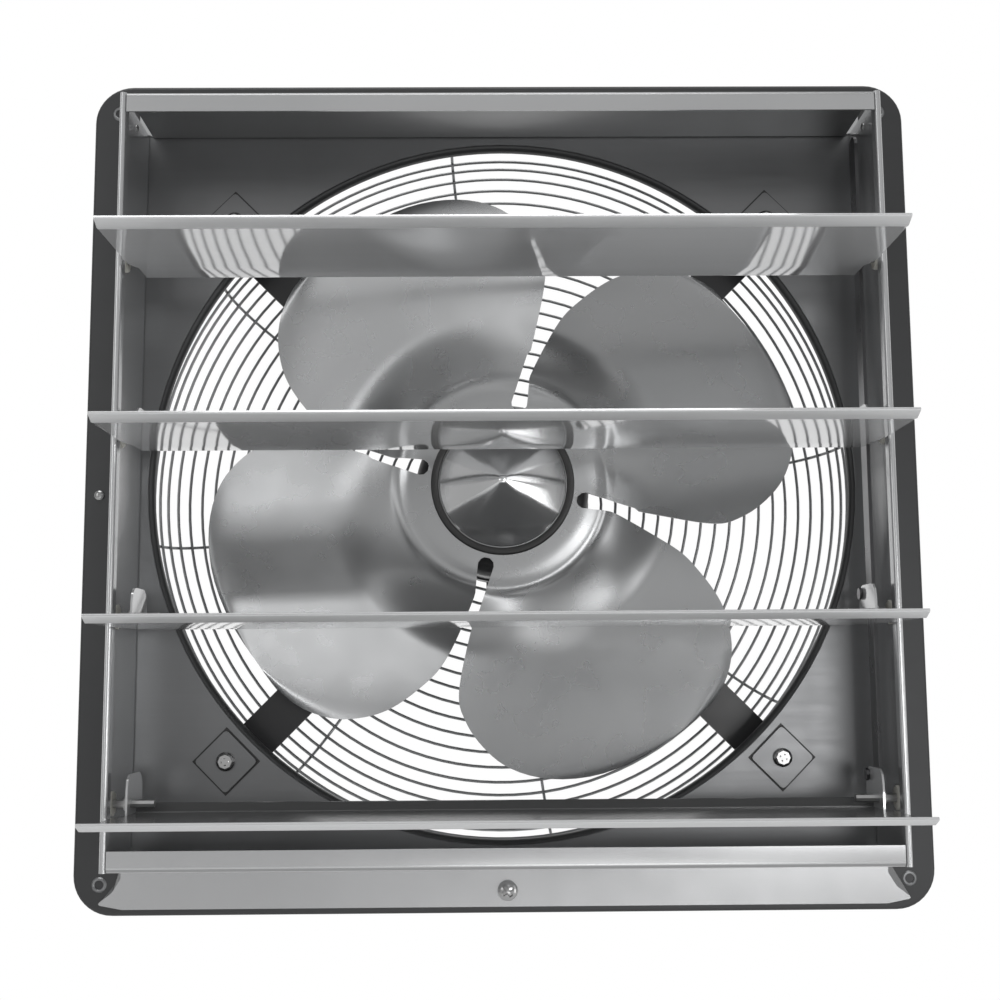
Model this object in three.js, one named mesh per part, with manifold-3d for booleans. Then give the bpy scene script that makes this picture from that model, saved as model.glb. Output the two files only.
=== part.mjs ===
// A window exhaust fan: a stamped square flange with a round opening, a four-blade impeller on a
// spider-held motor with a wire guard behind it, and a shutter box in front whose four louvers
// swing together on a tie bar. Millimetres. X is right, Z is up and +Y runs away from the viewer,
// with the origin on the fan's axis in the back face of the flange.
import * as THREE from "three";
import { mergeVertices } from "three/addons/utils/BufferGeometryUtils.js";
import Module from "manifold-3d";

const wasm = await Module();
wasm.setup();

// ---------------------------------------------------------------- driving dimensions
const fitGap = 0.3; // clearance between pieces that seat in each other
const runningGap = 0.4; // clearance round whatever turns in a hole
const past = 1; // how far a cutting solid runs past the face it cuts

// flange and opening
const flangeSize = 520;
const flangeCorner = 24;
const flangeSheet = 1.2;
const rimDepth = 5;
const rimRound = 2.2;
const openingMargin = 8.3; // opening's edge to the inside of the box
const cornerHoleInsetX = 16;
const cornerHoleInsetZ = 18.5;
const cornerHoleRadius = 2.5;

// ring behind the opening
const ringSheet = 1.2;
const ringDepth = 6;
const ringLip = 9;
const ringBend = 3.2;
const ringBead = 1.2;

// shutter box
const flangeMargin = 34; // flange beyond the box on each side
const boxDepth = 71;
const boxSheet = 1.2;
const hemWidth = 3.8;
const hemDepth = 8;
const wallFoot = 10;
const lipHeight = 12;
const topFoot = 22;
const bottomFoot = 30;
const footCut = 12;
const railTab = 15;

// louvers
const louverCount = 4;
const topLouverDrop = 104; // top louver's plate under the top of the box
const bottomLouverRise = 30; // bottom louver's plate over the bottom of the box
const louverEndGap = 5.8; // louver's end to the inside of the box
const louverSheet = 1;
const louverFront = 92; // pivot to the front edge
const louverTail = 12.7; // pivot to the rear edge
const louverPivotSetBack = 19.5; // pivot behind the front of the box
const pivotAbovePlate = 6.5;
const louverLipRise = 3.4;
const louverLipReach = 6.6;
const louverTailRise = 6;
const louverEndTaper = 14; // length over which an end draws in to the ear
const earStep = 0.2; // plate outside the ear behind the taper
const earInset = 5; // ear inside the louver's end
const earSheet = 1.2;
const earHeight = 23.3;
const earBefore = 9; // ear in front of the pivot
const earBehind = 26; // ear behind the pivot
const earCornerRound = 9;

// louver pivots
const pinRadius = 2.4;
const pinReach = 14; // pin inside the ear
const collarRadius = 4.2;
const collarLength = 2;
const bushRadius = 4.5;
const bushFlangeRadius = 7;
const bushFlange = 1.5;
const bushStandout = 2;
const pinStandout = 1.5;

// tie bar
const crankBack = 20; // crank stud behind the pivot
const crankUp = 12; // crank stud above the pivot
const studRadius = 2.2;
const studHeadRadius = 3.6;
const studHead = 1.6;
const barWidth = 12;
const barThickness = 2;
const barStandoff = 3.4; // bar outside the ear
const barBelow = 9;
const barTopGap = 14; // bar's top end under the top of the box

// impeller
const bladeCount = 4;
const bladeSheet = 1.6;
const bladeTipGap = 27.9; // blade tips to the edge of the opening
const bladeRootSink = 9; // blade roots inside the rim of the hub
const wheelHubRadius = 47;
const wheelHubY = -4; // front face of the hub
const bladeTwistStart = 52;
const bladeTwistEnd = 112;
const bladeSlope = 0.25;
const bladeSetBack = 11;
const bladeCamber = 5;
const firstBladeAngle = 32;
const slotWidth = 10;
const slotTipWidth = 2.5;
const slotOuterRadius = 84;
const slotTurn = 1; // degrees that a slot leans towards the next blade
const coneRadius = 39.5;
const coneHeight = 22;
const coneSheet = 1.2;
const coneTipRound = 6;
const bossRadius = 22;
const bossFlangeRadius = 36;
const bossFlange = 3;
const bossLength = 20;
const bossFillet = 3;
const bossChamfer = 1;

// motor
const shaftRadius = 6;
const shaftFrontY = -14;
const shaftRearInset = 2;
const nutAcross = 18;
const nutHeight = 7;
const motorRadius = 56;
const motorFrontY = 25;
const motorRearY = 98;
const motorWall = 2.5;
const motorRound = 8;
const coverJointY = 61;
const coverBand = 6;
const coverBandHeight = 1.2;
const coverShaftGap = 1;
const statorOuterGap = 0.8;
const statorFrontY = 46;
const statorRearY = 78;
const statorTooth = 4; // iron inside the windings
const statorSlots = 8;
const statorSlotWidth = 6;
const statorSlotMouth = 2;
const statorYoke = 8.7; // iron outside the slots
const windingGap = 4.5; // windings to the inside of the covers
const windingDepth = 14;
const windingLength = 9;
const windingChamfer = 3;
const rotorGap = 0.9;
const rotorShort = 1;
const bearingRadius = 13;
const bearingLength = 8;
const bearingInset = 3;
const glandY = 80;
const glandLength = 13;
const glandRadius = 7;
const glandHex = 18;
const glandHexHeight = 4;
const glandBore = 3.5;

// arms and their fixings
const armWidth = 26;
const armSheet = 3;
const armY = 42;
const armBend = 3;
const armRiserGap = 1; // riser outside the ring's lip
const armFootLength = 26;
const armTabLength = 17;
const armBoltInset = 12.5; // bolt outside the riser
const armBoltRadius = 3;
const boltHeadRadius = 5.2;
const boltHeadChamfer = 1;
const boltHead = 3.5;
const nutAcrossFlats = 10;
const nutThick = 4.5;
const boltEnd = 1.5;
const padSize = 27;
const padSheet = 2;
const padCorner = 2;
const motorBoltRadius = 2.5;
const motorBoltHead = 2.6;
const motorBoltHeadRadius = 4.6;
const motorBoltDepth = 1.6;

// wire guard
const wireThickness = 2;
const weldSink = 0.6;
const guardRingStep = 10;
const guardInnerRing = 20;
const guardFaceInner = 50;
const guardMotorGap = 7; // flat face behind the motor
const guardShoulder = 38; // width of the rounded shoulder
const guardShoulderDepth = 55;
const guardShoulderRings = 7;
const guardSkirtY = 14;
const guardSkirtFlare = 17; // foot ring outside the guard's side
const footRingOffset = 6; // foot ring outside the arm bolts
const guardSpokes = 8;
const guardSpokeTurn = 8;
const eyeRadius = 7.7;

// facets
const ringSegments = 48;
const hubSegments = 24;
const motorSegments = 20;
const innerSegments = 16;
const footRingSegments = 24;
const wireSegments = 16;
const smallSegments = 8;

// ---------------------------------------------------------------- values worked out
const boxHalf = flangeSize / 2 - flangeMargin;
const boxInner = boxHalf - boxSheet;
const panelFront = -flangeSheet;
const boxFront = panelFront - boxDepth;
const hemInner = boxHalf - hemWidth;
const cornerHoleX = flangeSize / 2 - cornerHoleInsetX;
const cornerHoleZ = flangeSize / 2 - cornerHoleInsetZ;
const openingRadius = boxInner - openingMargin;
const ringInner = openingRadius + ringSheet / 2;
const topLouverZ = boxHalf - topLouverDrop;
const louverPitch = (topLouverZ + boxHalf - bottomLouverRise) / (louverCount - 1);
const louverPivotY = boxFront + louverPivotSetBack;
const louverHalfLength = boxInner - louverEndGap;
const earX = louverHalfLength - earInset;
const pinInnerX = earX - pinReach;
const barInnerX = earX + earSheet / 2 + barStandoff;
const barTopZ = boxHalf - barTopGap;
const bladeTipRadius = openingRadius - bladeTipGap;
const bladeRootRadius = wheelHubRadius - bladeRootSink;
const shaftHole = shaftRadius + fitGap;
const wheelBack = wheelHubY + bladeSheet;
const bossFront = wheelBack;
const motorInner = motorRadius - motorWall;
const windingOuter = motorInner - windingGap;
const windingInner = windingOuter - windingDepth;
const statorBore = windingInner - statorTooth;
const armRiserRadius = openingRadius + ringLip + armRiserGap;
const armBoltCircle = armRiserRadius + armBoltInset;
const guardFootRadius = armBoltCircle + footRingOffset;
const guardSideRadius = guardFootRadius - guardSkirtFlare;
const guardShoulderRadius = guardSideRadius - guardShoulder;
const guardFaceY = motorRearY + guardMotorGap;
const guardSideY = guardFaceY - guardShoulderDepth;
const diagonals = [45, 135, 225, 315].map((a) => THREE.MathUtils.degToRad(a));
const cornerNames = ["upper_right", "upper_left", "lower_left", "lower_right"];

// ---------------------------------------------------------------- solids
// A three.js geometry as a manifold-3d solid.
function solid(geometry) {
  const bare = geometry.clone();
  bare.deleteAttribute("normal");
  bare.deleteAttribute("uv");
  const merged = mergeVertices(bare, 1e-4);
  const vertProperties = merged.attributes.position.array;
  const triVerts = new Uint32Array(merged.index.array);
  return new wasm.Manifold(new wasm.Mesh({ numProp: 3, vertProperties, triVerts }));
}

// A manifold-3d solid as a flat-shaded three.js geometry.
function geometryOf(body) {
  const mesh = body.getMesh();
  const geometry = new THREE.BufferGeometry();
  geometry.setAttribute("position", new THREE.BufferAttribute(mesh.vertProperties, 3));
  geometry.setIndex(new THREE.BufferAttribute(mesh.triVerts, 1));
  const flat = geometry.toNonIndexed();
  flat.computeVertexNormals();
  return flat;
}

const joined = (parts) => parts.reduce((whole, part) => whole.add(part));

const cut = (body, tools) => tools.reduce((rest, tool) => rest.subtract(tool), body);

// A shape drawn in X and Z, from the plane Y = front to the plane Y = back.
function alongY(shape, front, back, options = {}) {
  const settings = { depth: back - front, bevelEnabled: false, curveSegments: 4, ...options };
  const geometry = new THREE.ExtrudeGeometry(shape, settings);
  geometry.rotateX(Math.PI / 2);
  geometry.translate(0, back, 0);
  return solid(geometry);
}

// A shape drawn in Y and Z, from X = left to X = right.
function alongX(shape, left, right) {
  const settings = { depth: right - left, bevelEnabled: false, curveSegments: 3 };
  const geometry = new THREE.ExtrudeGeometry(shape, settings);
  const yAxis = new THREE.Vector3(0, 1, 0);
  const zAxis = new THREE.Vector3(0, 0, 1);
  const xAxis = new THREE.Vector3(1, 0, 0);
  geometry.applyMatrix4(new THREE.Matrix4().makeBasis(yAxis, zAxis, xAxis));
  geometry.translate(left, 0, 0);
  return solid(geometry);
}

// A shape drawn in X and Y, from Z = bottom to Z = top.
function alongZ(shape, bottom, top) {
  const settings = { depth: top - bottom, bevelEnabled: false, curveSegments: 3 };
  const geometry = new THREE.ExtrudeGeometry(shape, settings);
  geometry.translate(0, 0, bottom);
  return solid(geometry);
}

// A profile of [radius, Y] points, counter-clockwise, turned about the fan's axis.
function turned(profile, segments = ringSegments) {
  const points = profile.map(([radius, y]) => new THREE.Vector2(radius, y));
  return solid(new THREE.LatheGeometry(points, segments));
}

// A round bar about the Y axis, with an optional bore.
function barAlongY(radius, front, back, bore = 0, segments = smallSegments) {
  const profile = [[bore, front], [radius, front], [radius, back], [bore, back]];
  if (bore > 0) profile.push([bore, front]);
  return turned(profile, segments);
}

// The same bar lying along X from one place to another.
function barAlongX(radius, left, right, bore = 0) {
  const profile = [[bore, left], [radius, left], [radius, right], [bore, right]];
  return turnedAlongX(bore > 0 ? closed(profile) : profile);
}

// A profile of [radius, X] points turned about the X axis.
const turnedAlongX = (profile) => turned(profile, smallSegments).rotate([0, 0, -90]);

function block(left, right, front, back, bottom, top) {
  const geometry = new THREE.BoxGeometry(right - left, back - front, top - bottom);
  geometry.translate((left + right) / 2, (front + back) / 2, (bottom + top) / 2);
  return solid(geometry);
}

function roundedRectangle(width, height, corner) {
  const shape = new THREE.Shape();
  const x = width / 2 - corner;
  const z = height / 2 - corner;
  const quarter = Math.PI / 2;
  shape.absarc(x, z, corner, 0, quarter);
  shape.absarc(-x, z, corner, quarter, 2 * quarter);
  shape.absarc(-x, -z, corner, 2 * quarter, 3 * quarter);
  shape.absarc(x, -z, corner, 3 * quarter, 4 * quarter);
  shape.closePath();
  return shape;
}

function polygon(sides, radius, turn = 0) {
  const points = [];
  for (let i = 0; i < sides; i += 1) {
    const angle = turn + (2 * Math.PI * i) / sides;
    points.push(new THREE.Vector2(radius * Math.cos(angle), radius * Math.sin(angle)));
  }
  return new THREE.Shape(points);
}

// The outline of a folded sheet whose middle line runs through the corners, each bend rounded.
function foldedSheet(corners, thickness, bend, steps = 2) {
  const line = [];
  corners.forEach(([x, y], i) => {
    const here = new THREE.Vector2(x, y);
    if (i === 0 || i === corners.length - 1) {
      line.push(here);
      return;
    }
    const before = new THREE.Vector2(...corners[i - 1]);
    const after = new THREE.Vector2(...corners[i + 1]);
    const reach = Math.min(bend, here.distanceTo(before) / 2, here.distanceTo(after) / 2);
    const start = here.clone().lerp(before, reach / here.distanceTo(before));
    const end = here.clone().lerp(after, reach / here.distanceTo(after));
    line.push(...new THREE.QuadraticBezierCurve(start, here, end).getPoints(steps));
  });
  const sides = [[], []];
  line.forEach((point, i) => {
    const back = line[Math.max(i - 1, 0)];
    const ahead = line[Math.min(i + 1, line.length - 1)];
    const into = point.clone().sub(back).normalize();
    const out = ahead.clone().sub(point).normalize();
    const along = into.add(out).normalize();
    const straight = i === 0 || i === line.length - 1 ? 1 : along.dot(out);
    const offset = new THREE.Vector2(-along.y, along.x).multiplyScalar(thickness / 2 / straight);
    sides[0].push(point.clone().add(offset));
    sides[1].push(point.clone().sub(offset));
  });
  return new THREE.Shape([...sides[0], ...sides[1].reverse()]);
}

// A quarter round of a turned profile, as [radius, Y] points between two angles in degrees.
function arc(centreRadius, centreY, round, fromDegrees, toDegrees, steps = 2) {
  const points = [];
  for (let i = 0; i <= steps; i += 1) {
    const angle = THREE.MathUtils.degToRad(fromDegrees + ((toDegrees - fromDegrees) * i) / steps);
    points.push([centreRadius + round * Math.cos(angle), centreY + round * Math.sin(angle)]);
  }
  return points;
}

const closed = (profile) => [...profile, profile[0]];

// ---------------------------------------------------------------- materials
function metal(colour, roughness, metalness = 0.9) {
  return new THREE.MeshStandardMaterial({ color: colour, roughness, metalness });
}

// ---------------------------------------------------------------- the group of meshes
const fan = new THREE.Group();

// The solid is given in the frame of its group, so a mesh keeps its pivot where it turns.
function place(name, body, material, parent = fan) {
  const mesh = new THREE.Mesh(geometryOf(body), material);
  mesh.name = name;
  parent.add(mesh);
  return mesh;
}

// ---------------------------------------------------------------- flange and ring
function flangePanel() {
  const outline = roundedRectangle(flangeSize, flangeSize, flangeCorner);
  const bevel = {
    bevelEnabled: true,
    bevelThickness: rimRound,
    bevelSize: rimRound,
    bevelOffset: -rimRound,
    bevelSegments: 2,
  };
  const front = panelFront + rimRound;
  const dish = alongY(outline, front, rimDepth + rimRound, bevel);
  const inside = flangeSize - 2 * flangeSheet;
  const pocketOutline = roundedRectangle(inside, inside, flangeCorner - flangeSheet);
  const pocket = alongY(pocketOutline, 0, rimDepth + 3 * rimRound);
  const far = flangeSize;
  const behind = block(-far, far, rimDepth, rimDepth + 3 * rimRound, -far, far);
  const through = (radius, segments) => barAlongY(radius, -rimDepth, rimDepth, 0, segments);
  const holes = [through(openingRadius, ringSegments)];
  for (const side of [-1, 1]) {
    for (const end of [-1, 1]) {
      const hole = through(cornerHoleRadius, smallSegments);
      holes.push(hole.translate([side * cornerHoleX, 0, end * cornerHoleZ]));
    }
  }
  for (const angle of diagonals) {
    const hole = through(armBoltRadius + fitGap, smallSegments);
    const x = armBoltCircle * Math.cos(angle);
    holes.push(hole.translate([x, 0, armBoltCircle * Math.sin(angle)]));
  }
  return cut(dish, [pocket, behind, ...holes]);
}

function fanRing() {
  const outer = ringInner + ringSheet;
  const bend = ringBend;
  const lipOuter = openingRadius + ringLip;
  const beadY = ringDepth - ringBead;
  return turned(
    closed([
      [ringInner, bend],
      ...arc(ringInner + bend, bend, bend, 180, 270, 1).slice(1),
      [lipOuter, 0],
      [lipOuter, ringSheet],
      ...arc(ringInner + bend, bend, bend - ringSheet, 270, 180, 1),
      ...arc(outer, beadY, ringBead, -90, 90).slice(1),
      [ringInner, ringDepth],
    ]),
  );
}

// ---------------------------------------------------------------- shutter box
// One side wall: a foot on the flange, the wall, and a closed hem round its front edge.
function sideWall(side) {
  const half = boxSheet / 2;
  const wallX = boxHalf - half;
  const footY = panelFront - half;
  const hemY = boxFront + half;
  const section = foldedSheet(
    [
      [boxHalf + wallFoot, footY],
      [wallX, footY],
      [wallX, hemY],
      [hemInner + half, hemY],
      [hemInner + half, boxFront + hemDepth],
    ],
    boxSheet,
    boxSheet,
  );
  const holes = pivotHeights().map((z) =>
    barAlongX(bushRadius + fitGap, hemInner, boxHalf + wallFoot).translate([0, louverPivotY, z]),
  );
  const wall = cut(alongZ(section, -boxHalf, boxHalf), holes);
  return side > 0 ? wall : wall.mirror([1, 0, 0]);
}

// The top rail, drawn for the upper side: a foot on the flange, the web and the front lip.
function rail(footHeight) {
  const half = boxSheet / 2;
  const webZ = boxHalf - half;
  const section = foldedSheet(
    [
      [panelFront - half, boxHalf + footHeight],
      [panelFront - half, webZ],
      [boxFront + half, webZ],
      [boxFront + half, boxHalf - lipHeight],
    ],
    boxSheet,
    2 * boxSheet,
  );
  const strip = alongX(section, -boxInner, boxInner);
  const tools = [];
  const tabs = [];
  for (const side of [-1, 1]) {
    const clear = boxHalf - boxInner + fitGap;
    const hemEdge = hemInner - fitGap;
    const notch = block(
      hemEdge,
      boxHalf,
      boxFront - clear,
      boxFront + hemDepth + fitGap,
      -boxHalf,
      boxHalf + clear,
    );
    const footCorner = new THREE.Shape([
      new THREE.Vector2(boxHalf, boxHalf + footHeight - footCut),
      new THREE.Vector2(boxHalf, boxHalf + footHeight + clear),
      new THREE.Vector2(boxInner - footCut, boxHalf + footHeight + clear),
    ]);
    const corner = alongY(footCorner, panelFront - 2 * boxSheet, -panelFront);
    const tab = block(
      boxInner - boxSheet,
      boxInner,
      boxFront + 2 * hemDepth,
      panelFront - hemDepth,
      boxHalf - railTab,
      boxHalf - half,
    );
    const turn = (body) => (side > 0 ? body : body.mirror([1, 0, 0]));
    tools.push(turn(notch), turn(corner));
    tabs.push(turn(tab));
  }
  return cut(joined([strip, ...tabs]), tools);
}

function pivotHeights() {
  const heights = [];
  for (let i = 0; i < louverCount; i += 1) {
    heights.push(topLouverZ - i * louverPitch + pivotAbovePlate);
  }
  return heights;
}

// A flanged bush in the right wall, drawn about its own axis.
function pivotBush(side) {
  const bore = pinRadius + runningGap;
  const inner = boxInner - bushFlange;
  const bush = turnedAlongX(
    closed([
      [bore, inner],
      [bushFlangeRadius, inner],
      [bushFlangeRadius, boxInner],
      [bushRadius, boxInner],
      [bushRadius, boxHalf + bushStandout],
      [bore, boxHalf + bushStandout],
    ]),
  );
  return side > 0 ? bush : bush.mirror([1, 0, 0]);
}

// ---------------------------------------------------------------- louvers
// A louver about its pivot: a plate with its front edge bent up and forward and a flange turned
// up along its tail. A drilled ear stands at each end, where the plate draws in to clear the tie
// bar. The right ear also has the hole for the tie bar's stud.
function louver() {
  const half = louverSheet / 2;
  const plateZ = -pivotAbovePlate;
  const tailEnd = louverTail - half;
  const section = foldedSheet(
    [
      [-louverFront, plateZ + louverLipRise],
      [-louverFront + louverLipReach, plateZ],
      [tailEnd, plateZ],
      [tailEnd, plateZ + louverTailRise],
    ],
    louverSheet,
    2 * louverSheet,
  );
  const plate = alongX(section, -louverHalfLength, louverHalfLength);
  const ears = [];
  const tools = [];
  for (const side of [-1, 1]) {
    const turn = (body) => (side > 0 ? body : body.mirror([1, 0, 0]));
    const outline = new THREE.Shape();
    const top = plateZ + earHeight;
    outline.moveTo(-earBefore, plateZ);
    outline.lineTo(tailEnd, plateZ);
    outline.lineTo(earBehind, 0);
    outline.lineTo(earBehind, top - earCornerRound);
    outline.quadraticCurveTo(earBehind, top, earBehind - earCornerRound, top);
    outline.lineTo(0, top);
    outline.quadraticCurveTo(-earBefore, top, -earBefore, top - earBefore);
    outline.closePath();
    ears.push(turn(alongX(outline, earX - earSheet / 2, earX + earSheet / 2)));
    const reach = [earX - 2 * earSheet, earX + 2 * earSheet];
    tools.push(turn(barAlongX(pinRadius + fitGap, ...reach)));
    const drawnIn = earX + earSheet / 2 + earStep;
    const taperFront = -earBefore - louverEndTaper;
    const end = new THREE.Shape();
    end.moveTo(drawnIn, louverTail + past);
    end.lineTo(drawnIn, -earBefore);
    end.quadraticCurveTo(louverHalfLength, -earBefore, louverHalfLength, taperFront);
    end.lineTo(louverHalfLength + past, taperFront);
    end.lineTo(louverHalfLength + past, louverTail + past);
    end.closePath();
    tools.push(turn(alongZ(end, plateZ - louverSheet, plateZ + louverTailRise + past)));
  }
  const studHole = barAlongX(studRadius + runningGap, earX - 2 * earSheet, earX + 2 * earSheet);
  tools.push(studHole.translate([0, crankBack, crankUp]));
  return cut(joined([plate, ...ears]), tools);
}

// A pivot pin of the right side: a rod through the ear and bush, with a collar between them.
function pivotPin(side) {
  const collarX = earX + earSheet / 2 + fitGap;
  const endX = boxHalf + bushStandout + pinStandout;
  const pin = turnedAlongX([
    [0, pinInnerX],
    [pinRadius, pinInnerX],
    [pinRadius, collarX],
    [collarRadius, collarX],
    [collarRadius, collarX + collarLength],
    [pinRadius, collarX + collarLength],
    [pinRadius, endX],
    [0, endX],
  ]);
  return side > 0 ? pin : pin.mirror([1, 0, 0]);
}

// The tie bar about the stud of the top louver, with one headed stud for each louver.
function tieBar() {
  const half = barWidth / 2;
  const bottom = -(louverCount - 1) * louverPitch - barBelow;
  const top = barTopZ - (topLouverZ + pivotAbovePlate + crankUp);
  const outline = new THREE.Shape();
  outline.absarc(0, top - half, half, 0, Math.PI);
  outline.absarc(0, bottom + half, half, Math.PI, 2 * Math.PI);
  outline.closePath();
  const bar = alongX(outline, barInnerX, barInnerX + barThickness);
  const headX = earX - earSheet / 2 - fitGap;
  const studs = [];
  for (let i = 0; i < louverCount; i += 1) {
    const stud = turnedAlongX([
      [0, headX - studHead],
      [studHeadRadius, headX - studHead],
      [studHeadRadius, headX],
      [studRadius, headX],
      [studRadius, barInnerX + barThickness / 2],
      [0, barInnerX + barThickness / 2],
    ]);
    studs.push(stud.translate([0, 0, -i * louverPitch]));
  }
  return joined([bar, ...studs]);
}

// ---------------------------------------------------------------- impeller
// An edge of one blade, through points given as the share of the way from root to tip and the
// degrees from the blade's centre line.
function bladeEdge(points) {
  const reach = bladeTipRadius - bladeRootRadius;
  return new THREE.SplineCurve(
    points.map(([share, degrees]) => new THREE.Vector2(bladeRootRadius + share * reach, degrees)),
  );
}

const trailingEdge = bladeEdge([
  [0, -43],
  [0.38, -44.4],
  [0.62, -44],
  [0.73, -41],
  [0.83, -36],
  [0.9, -31],
  [0.955, -24],
  [0.99, -15],
  [1, -5],
]);
const leadingEdge = bladeEdge([
  [0, 47],
  [0.285, 42.6],
  [0.525, 39],
  [0.66, 35],
  [0.8, 30],
  [0.9, 24.5],
  [0.955, 20],
  [0.99, 15],
  [1, 11],
]);

// The depth of the blade's middle surface behind the hub at a radius and angle. It leaves the
// hub flat, twists to its pitch further out and is dished across.
function bladeDepth(radius, angle, across) {
  const twist = THREE.MathUtils.smoothstep(radius, bladeTwistStart, bladeTwistEnd);
  const pitch = bladeSlope * radius * angle + bladeSetBack;
  const dish = bladeCamber * (1 - (2 * across - 1) ** 2);
  return twist * (pitch + dish);
}

function blade() {
  const acrossSteps = 4;
  const outSteps = 9;
  const geometry = new THREE.BoxGeometry(1, 1, 1, acrossSteps, 1, outSteps);
  const position = geometry.attributes.position;
  for (let i = 0; i < position.count; i += 1) {
    const across = 0.5 - position.getX(i);
    const out = position.getZ(i) + 0.5;
    const trailing = trailingEdge.getPointAt(out);
    const leading = leadingEdge.getPointAt(out);
    const radius = THREE.MathUtils.lerp(trailing.x, leading.x, across);
    const degrees = THREE.MathUtils.lerp(trailing.y, leading.y, across);
    const angle = THREE.MathUtils.degToRad(degrees);
    const y = wheelHubY + bladeSheet * (position.getY(i) + 0.5) + bladeDepth(radius, angle, across);
    const turn = angle + THREE.MathUtils.degToRad(firstBladeAngle);
    position.setXYZ(i, radius * Math.cos(turn), y, radius * Math.sin(turn));
  }
  return solid(geometry);
}

function bladeWheel() {
  const parts = [barAlongY(wheelHubRadius, wheelHubY, wheelBack, shaftHole, hubSegments)];
  const slots = [];
  const one = blade();
  for (let i = 0; i < bladeCount; i += 1) {
    const turn = (-360 * i) / bladeCount;
    parts.push(one.rotate([0, turn, 0]));
    const slot = new THREE.Shape();
    const half = slotWidth / 2;
    slot.absarc(wheelHubRadius + half, 0, half, Math.PI / 2, (3 * Math.PI) / 2);
    slot.lineTo(slotOuterRadius, -slotTipWidth / 2);
    slot.lineTo(slotOuterRadius, slotTipWidth / 2);
    slot.closePath();
    const edge = 180 / bladeCount + firstBladeAngle + slotTurn;
    const body = alongY(slot, wheelHubY - bladeSetBack, wheelBack + bladeSetBack);
    slots.push(body.rotate([0, -edge + turn, 0]));
  }
  return cut(joined(parts), slots);
}

// The pressed cone over the shaft nut, hollow behind.
function spinnerCone() {
  const tip = wheelHubY - coneHeight;
  const slope = Math.atan2(coneHeight, coneRadius);
  const roundY = tip + coneTipRound;
  const start = THREE.MathUtils.radToDeg(-Math.PI / 2 + slope);
  const outside = arc(0, roundY, coneTipRound, -90, start);
  const inside = arc(0, roundY, coneTipRound - coneSheet, start, -90);
  const edge = coneSheet / Math.tan(slope / 2);
  return turned(
    [
      ...outside,
      [coneRadius, wheelHubY - coneSheet],
      [coneRadius, wheelHubY],
      [coneRadius - edge / 2, wheelHubY],
      ...inside,
    ],
    hubSegments,
  );
}

function hubBoss() {
  return turned(
    closed([
      [shaftHole, bossFront],
      [bossFlangeRadius, bossFront],
      [bossFlangeRadius, bossFront + bossFlange],
      ...arc(bossRadius + bossFillet, bossFront + bossFlange + bossFillet, bossFillet, -90, -180, 1),
      [bossRadius, bossFront + bossLength - bossChamfer],
      [bossRadius - bossChamfer, bossFront + bossLength],
      [shaftHole, bossFront + bossLength],
    ]),
    innerSegments,
  );
}

function hexNut(across, front, back, bore, radius = across / Math.sqrt(3)) {
  const nut = alongY(polygon(6, radius), front, back);
  return bore > 0 ? nut.subtract(barAlongY(bore, front - past, back + past)) : nut;
}

// ---------------------------------------------------------------- motor
// One end cover as a cup: its face at faceY, its open end at jointY, and a hub for the bearing.
function endCover(faceY, jointY) {
  const inward = Math.sign(jointY - faceY);
  const at = (radius, depth) => [radius, faceY + inward * depth];
  const length = Math.abs(jointY - faceY);
  const seat = bearingInset + bearingLength;
  const corner = arc(motorRadius - motorRound, motorRound, motorRound, -90, 0);
  const insideRadius = motorRadius - motorRound;
  const bandRadius = motorRadius + coverBandHeight;
  const profile = [
    at(shaftRadius + coverShaftGap, 0),
    ...corner.map(([radius, depth]) => at(radius, depth)),
    at(motorRadius, length - coverBand),
    at(bandRadius, length - coverBand),
    at(bandRadius, length),
    at(motorInner, length),
    at(motorInner, motorRound),
    at(insideRadius, motorWall),
    at(bearingRadius + fitGap + motorWall, motorWall),
    at(bearingRadius + fitGap + motorWall, seat),
    at(bearingRadius + fitGap, seat),
    at(bearingRadius + fitGap, bearingInset),
    at(shaftRadius + coverShaftGap, bearingInset),
  ];
  return turned(closed(inward > 0 ? profile : profile.reverse()), motorSegments);
}

// The laminated stack: a ring with a slot between neighbouring poles.
function stator() {
  const outer = motorInner - statorOuterGap;
  const stack = barAlongY(outer, statorFrontY, statorRearY, statorBore, innerSegments);
  const slots = [];
  for (let i = 0; i < statorSlots; i += 1) {
    const slot = (from, to, width) =>
      block(from, to, statorFrontY - past, statorRearY + past, -width / 2, width / 2);
    const mouth = slot(0, windingInner, statorSlotMouth);
    const pocket = slot(windingInner, outer - statorYoke, statorSlotWidth);
    slots.push(mouth.add(pocket).rotate([0, (360 * (i + 0.5)) / statorSlots, 0]));
  }
  return cut(stack, slots);
}

function winding(front) {
  const back = front + windingLength;
  return turned(
    closed([
      [windingInner, front],
      [windingOuter - windingChamfer, front],
      [windingOuter, front + windingChamfer],
      [windingOuter, back - windingChamfer],
      [windingOuter - windingChamfer, back],
      [windingInner, back],
    ]),
    innerSegments,
  );
}

function bearing(front) {
  const back = front + bearingLength;
  return barAlongY(bearingRadius, front, back, shaftHole, innerSegments);
}

// The gland that takes the motor's lead, standing down from the rear cover.
function cableGland() {
  const down = (body) => body.rotate([-90, 0, 0]).translate([0, glandY, 0]);
  const hexFlat = motorRadius + glandHexHeight;
  const end = motorRadius + glandLength;
  const nut = alongY(polygon(6, glandHex / Math.sqrt(3)), motorInner, hexFlat);
  const stem = barAlongY(glandRadius, motorRadius, end);
  const bore = barAlongY(glandBore, motorRadius, end + past);
  const housing = barAlongY(motorRadius + fitGap, motorFrontY, motorRearY, 0, ringSegments);
  return cut(down(nut.add(stem)), [housing, down(bore)]);
}

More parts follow.
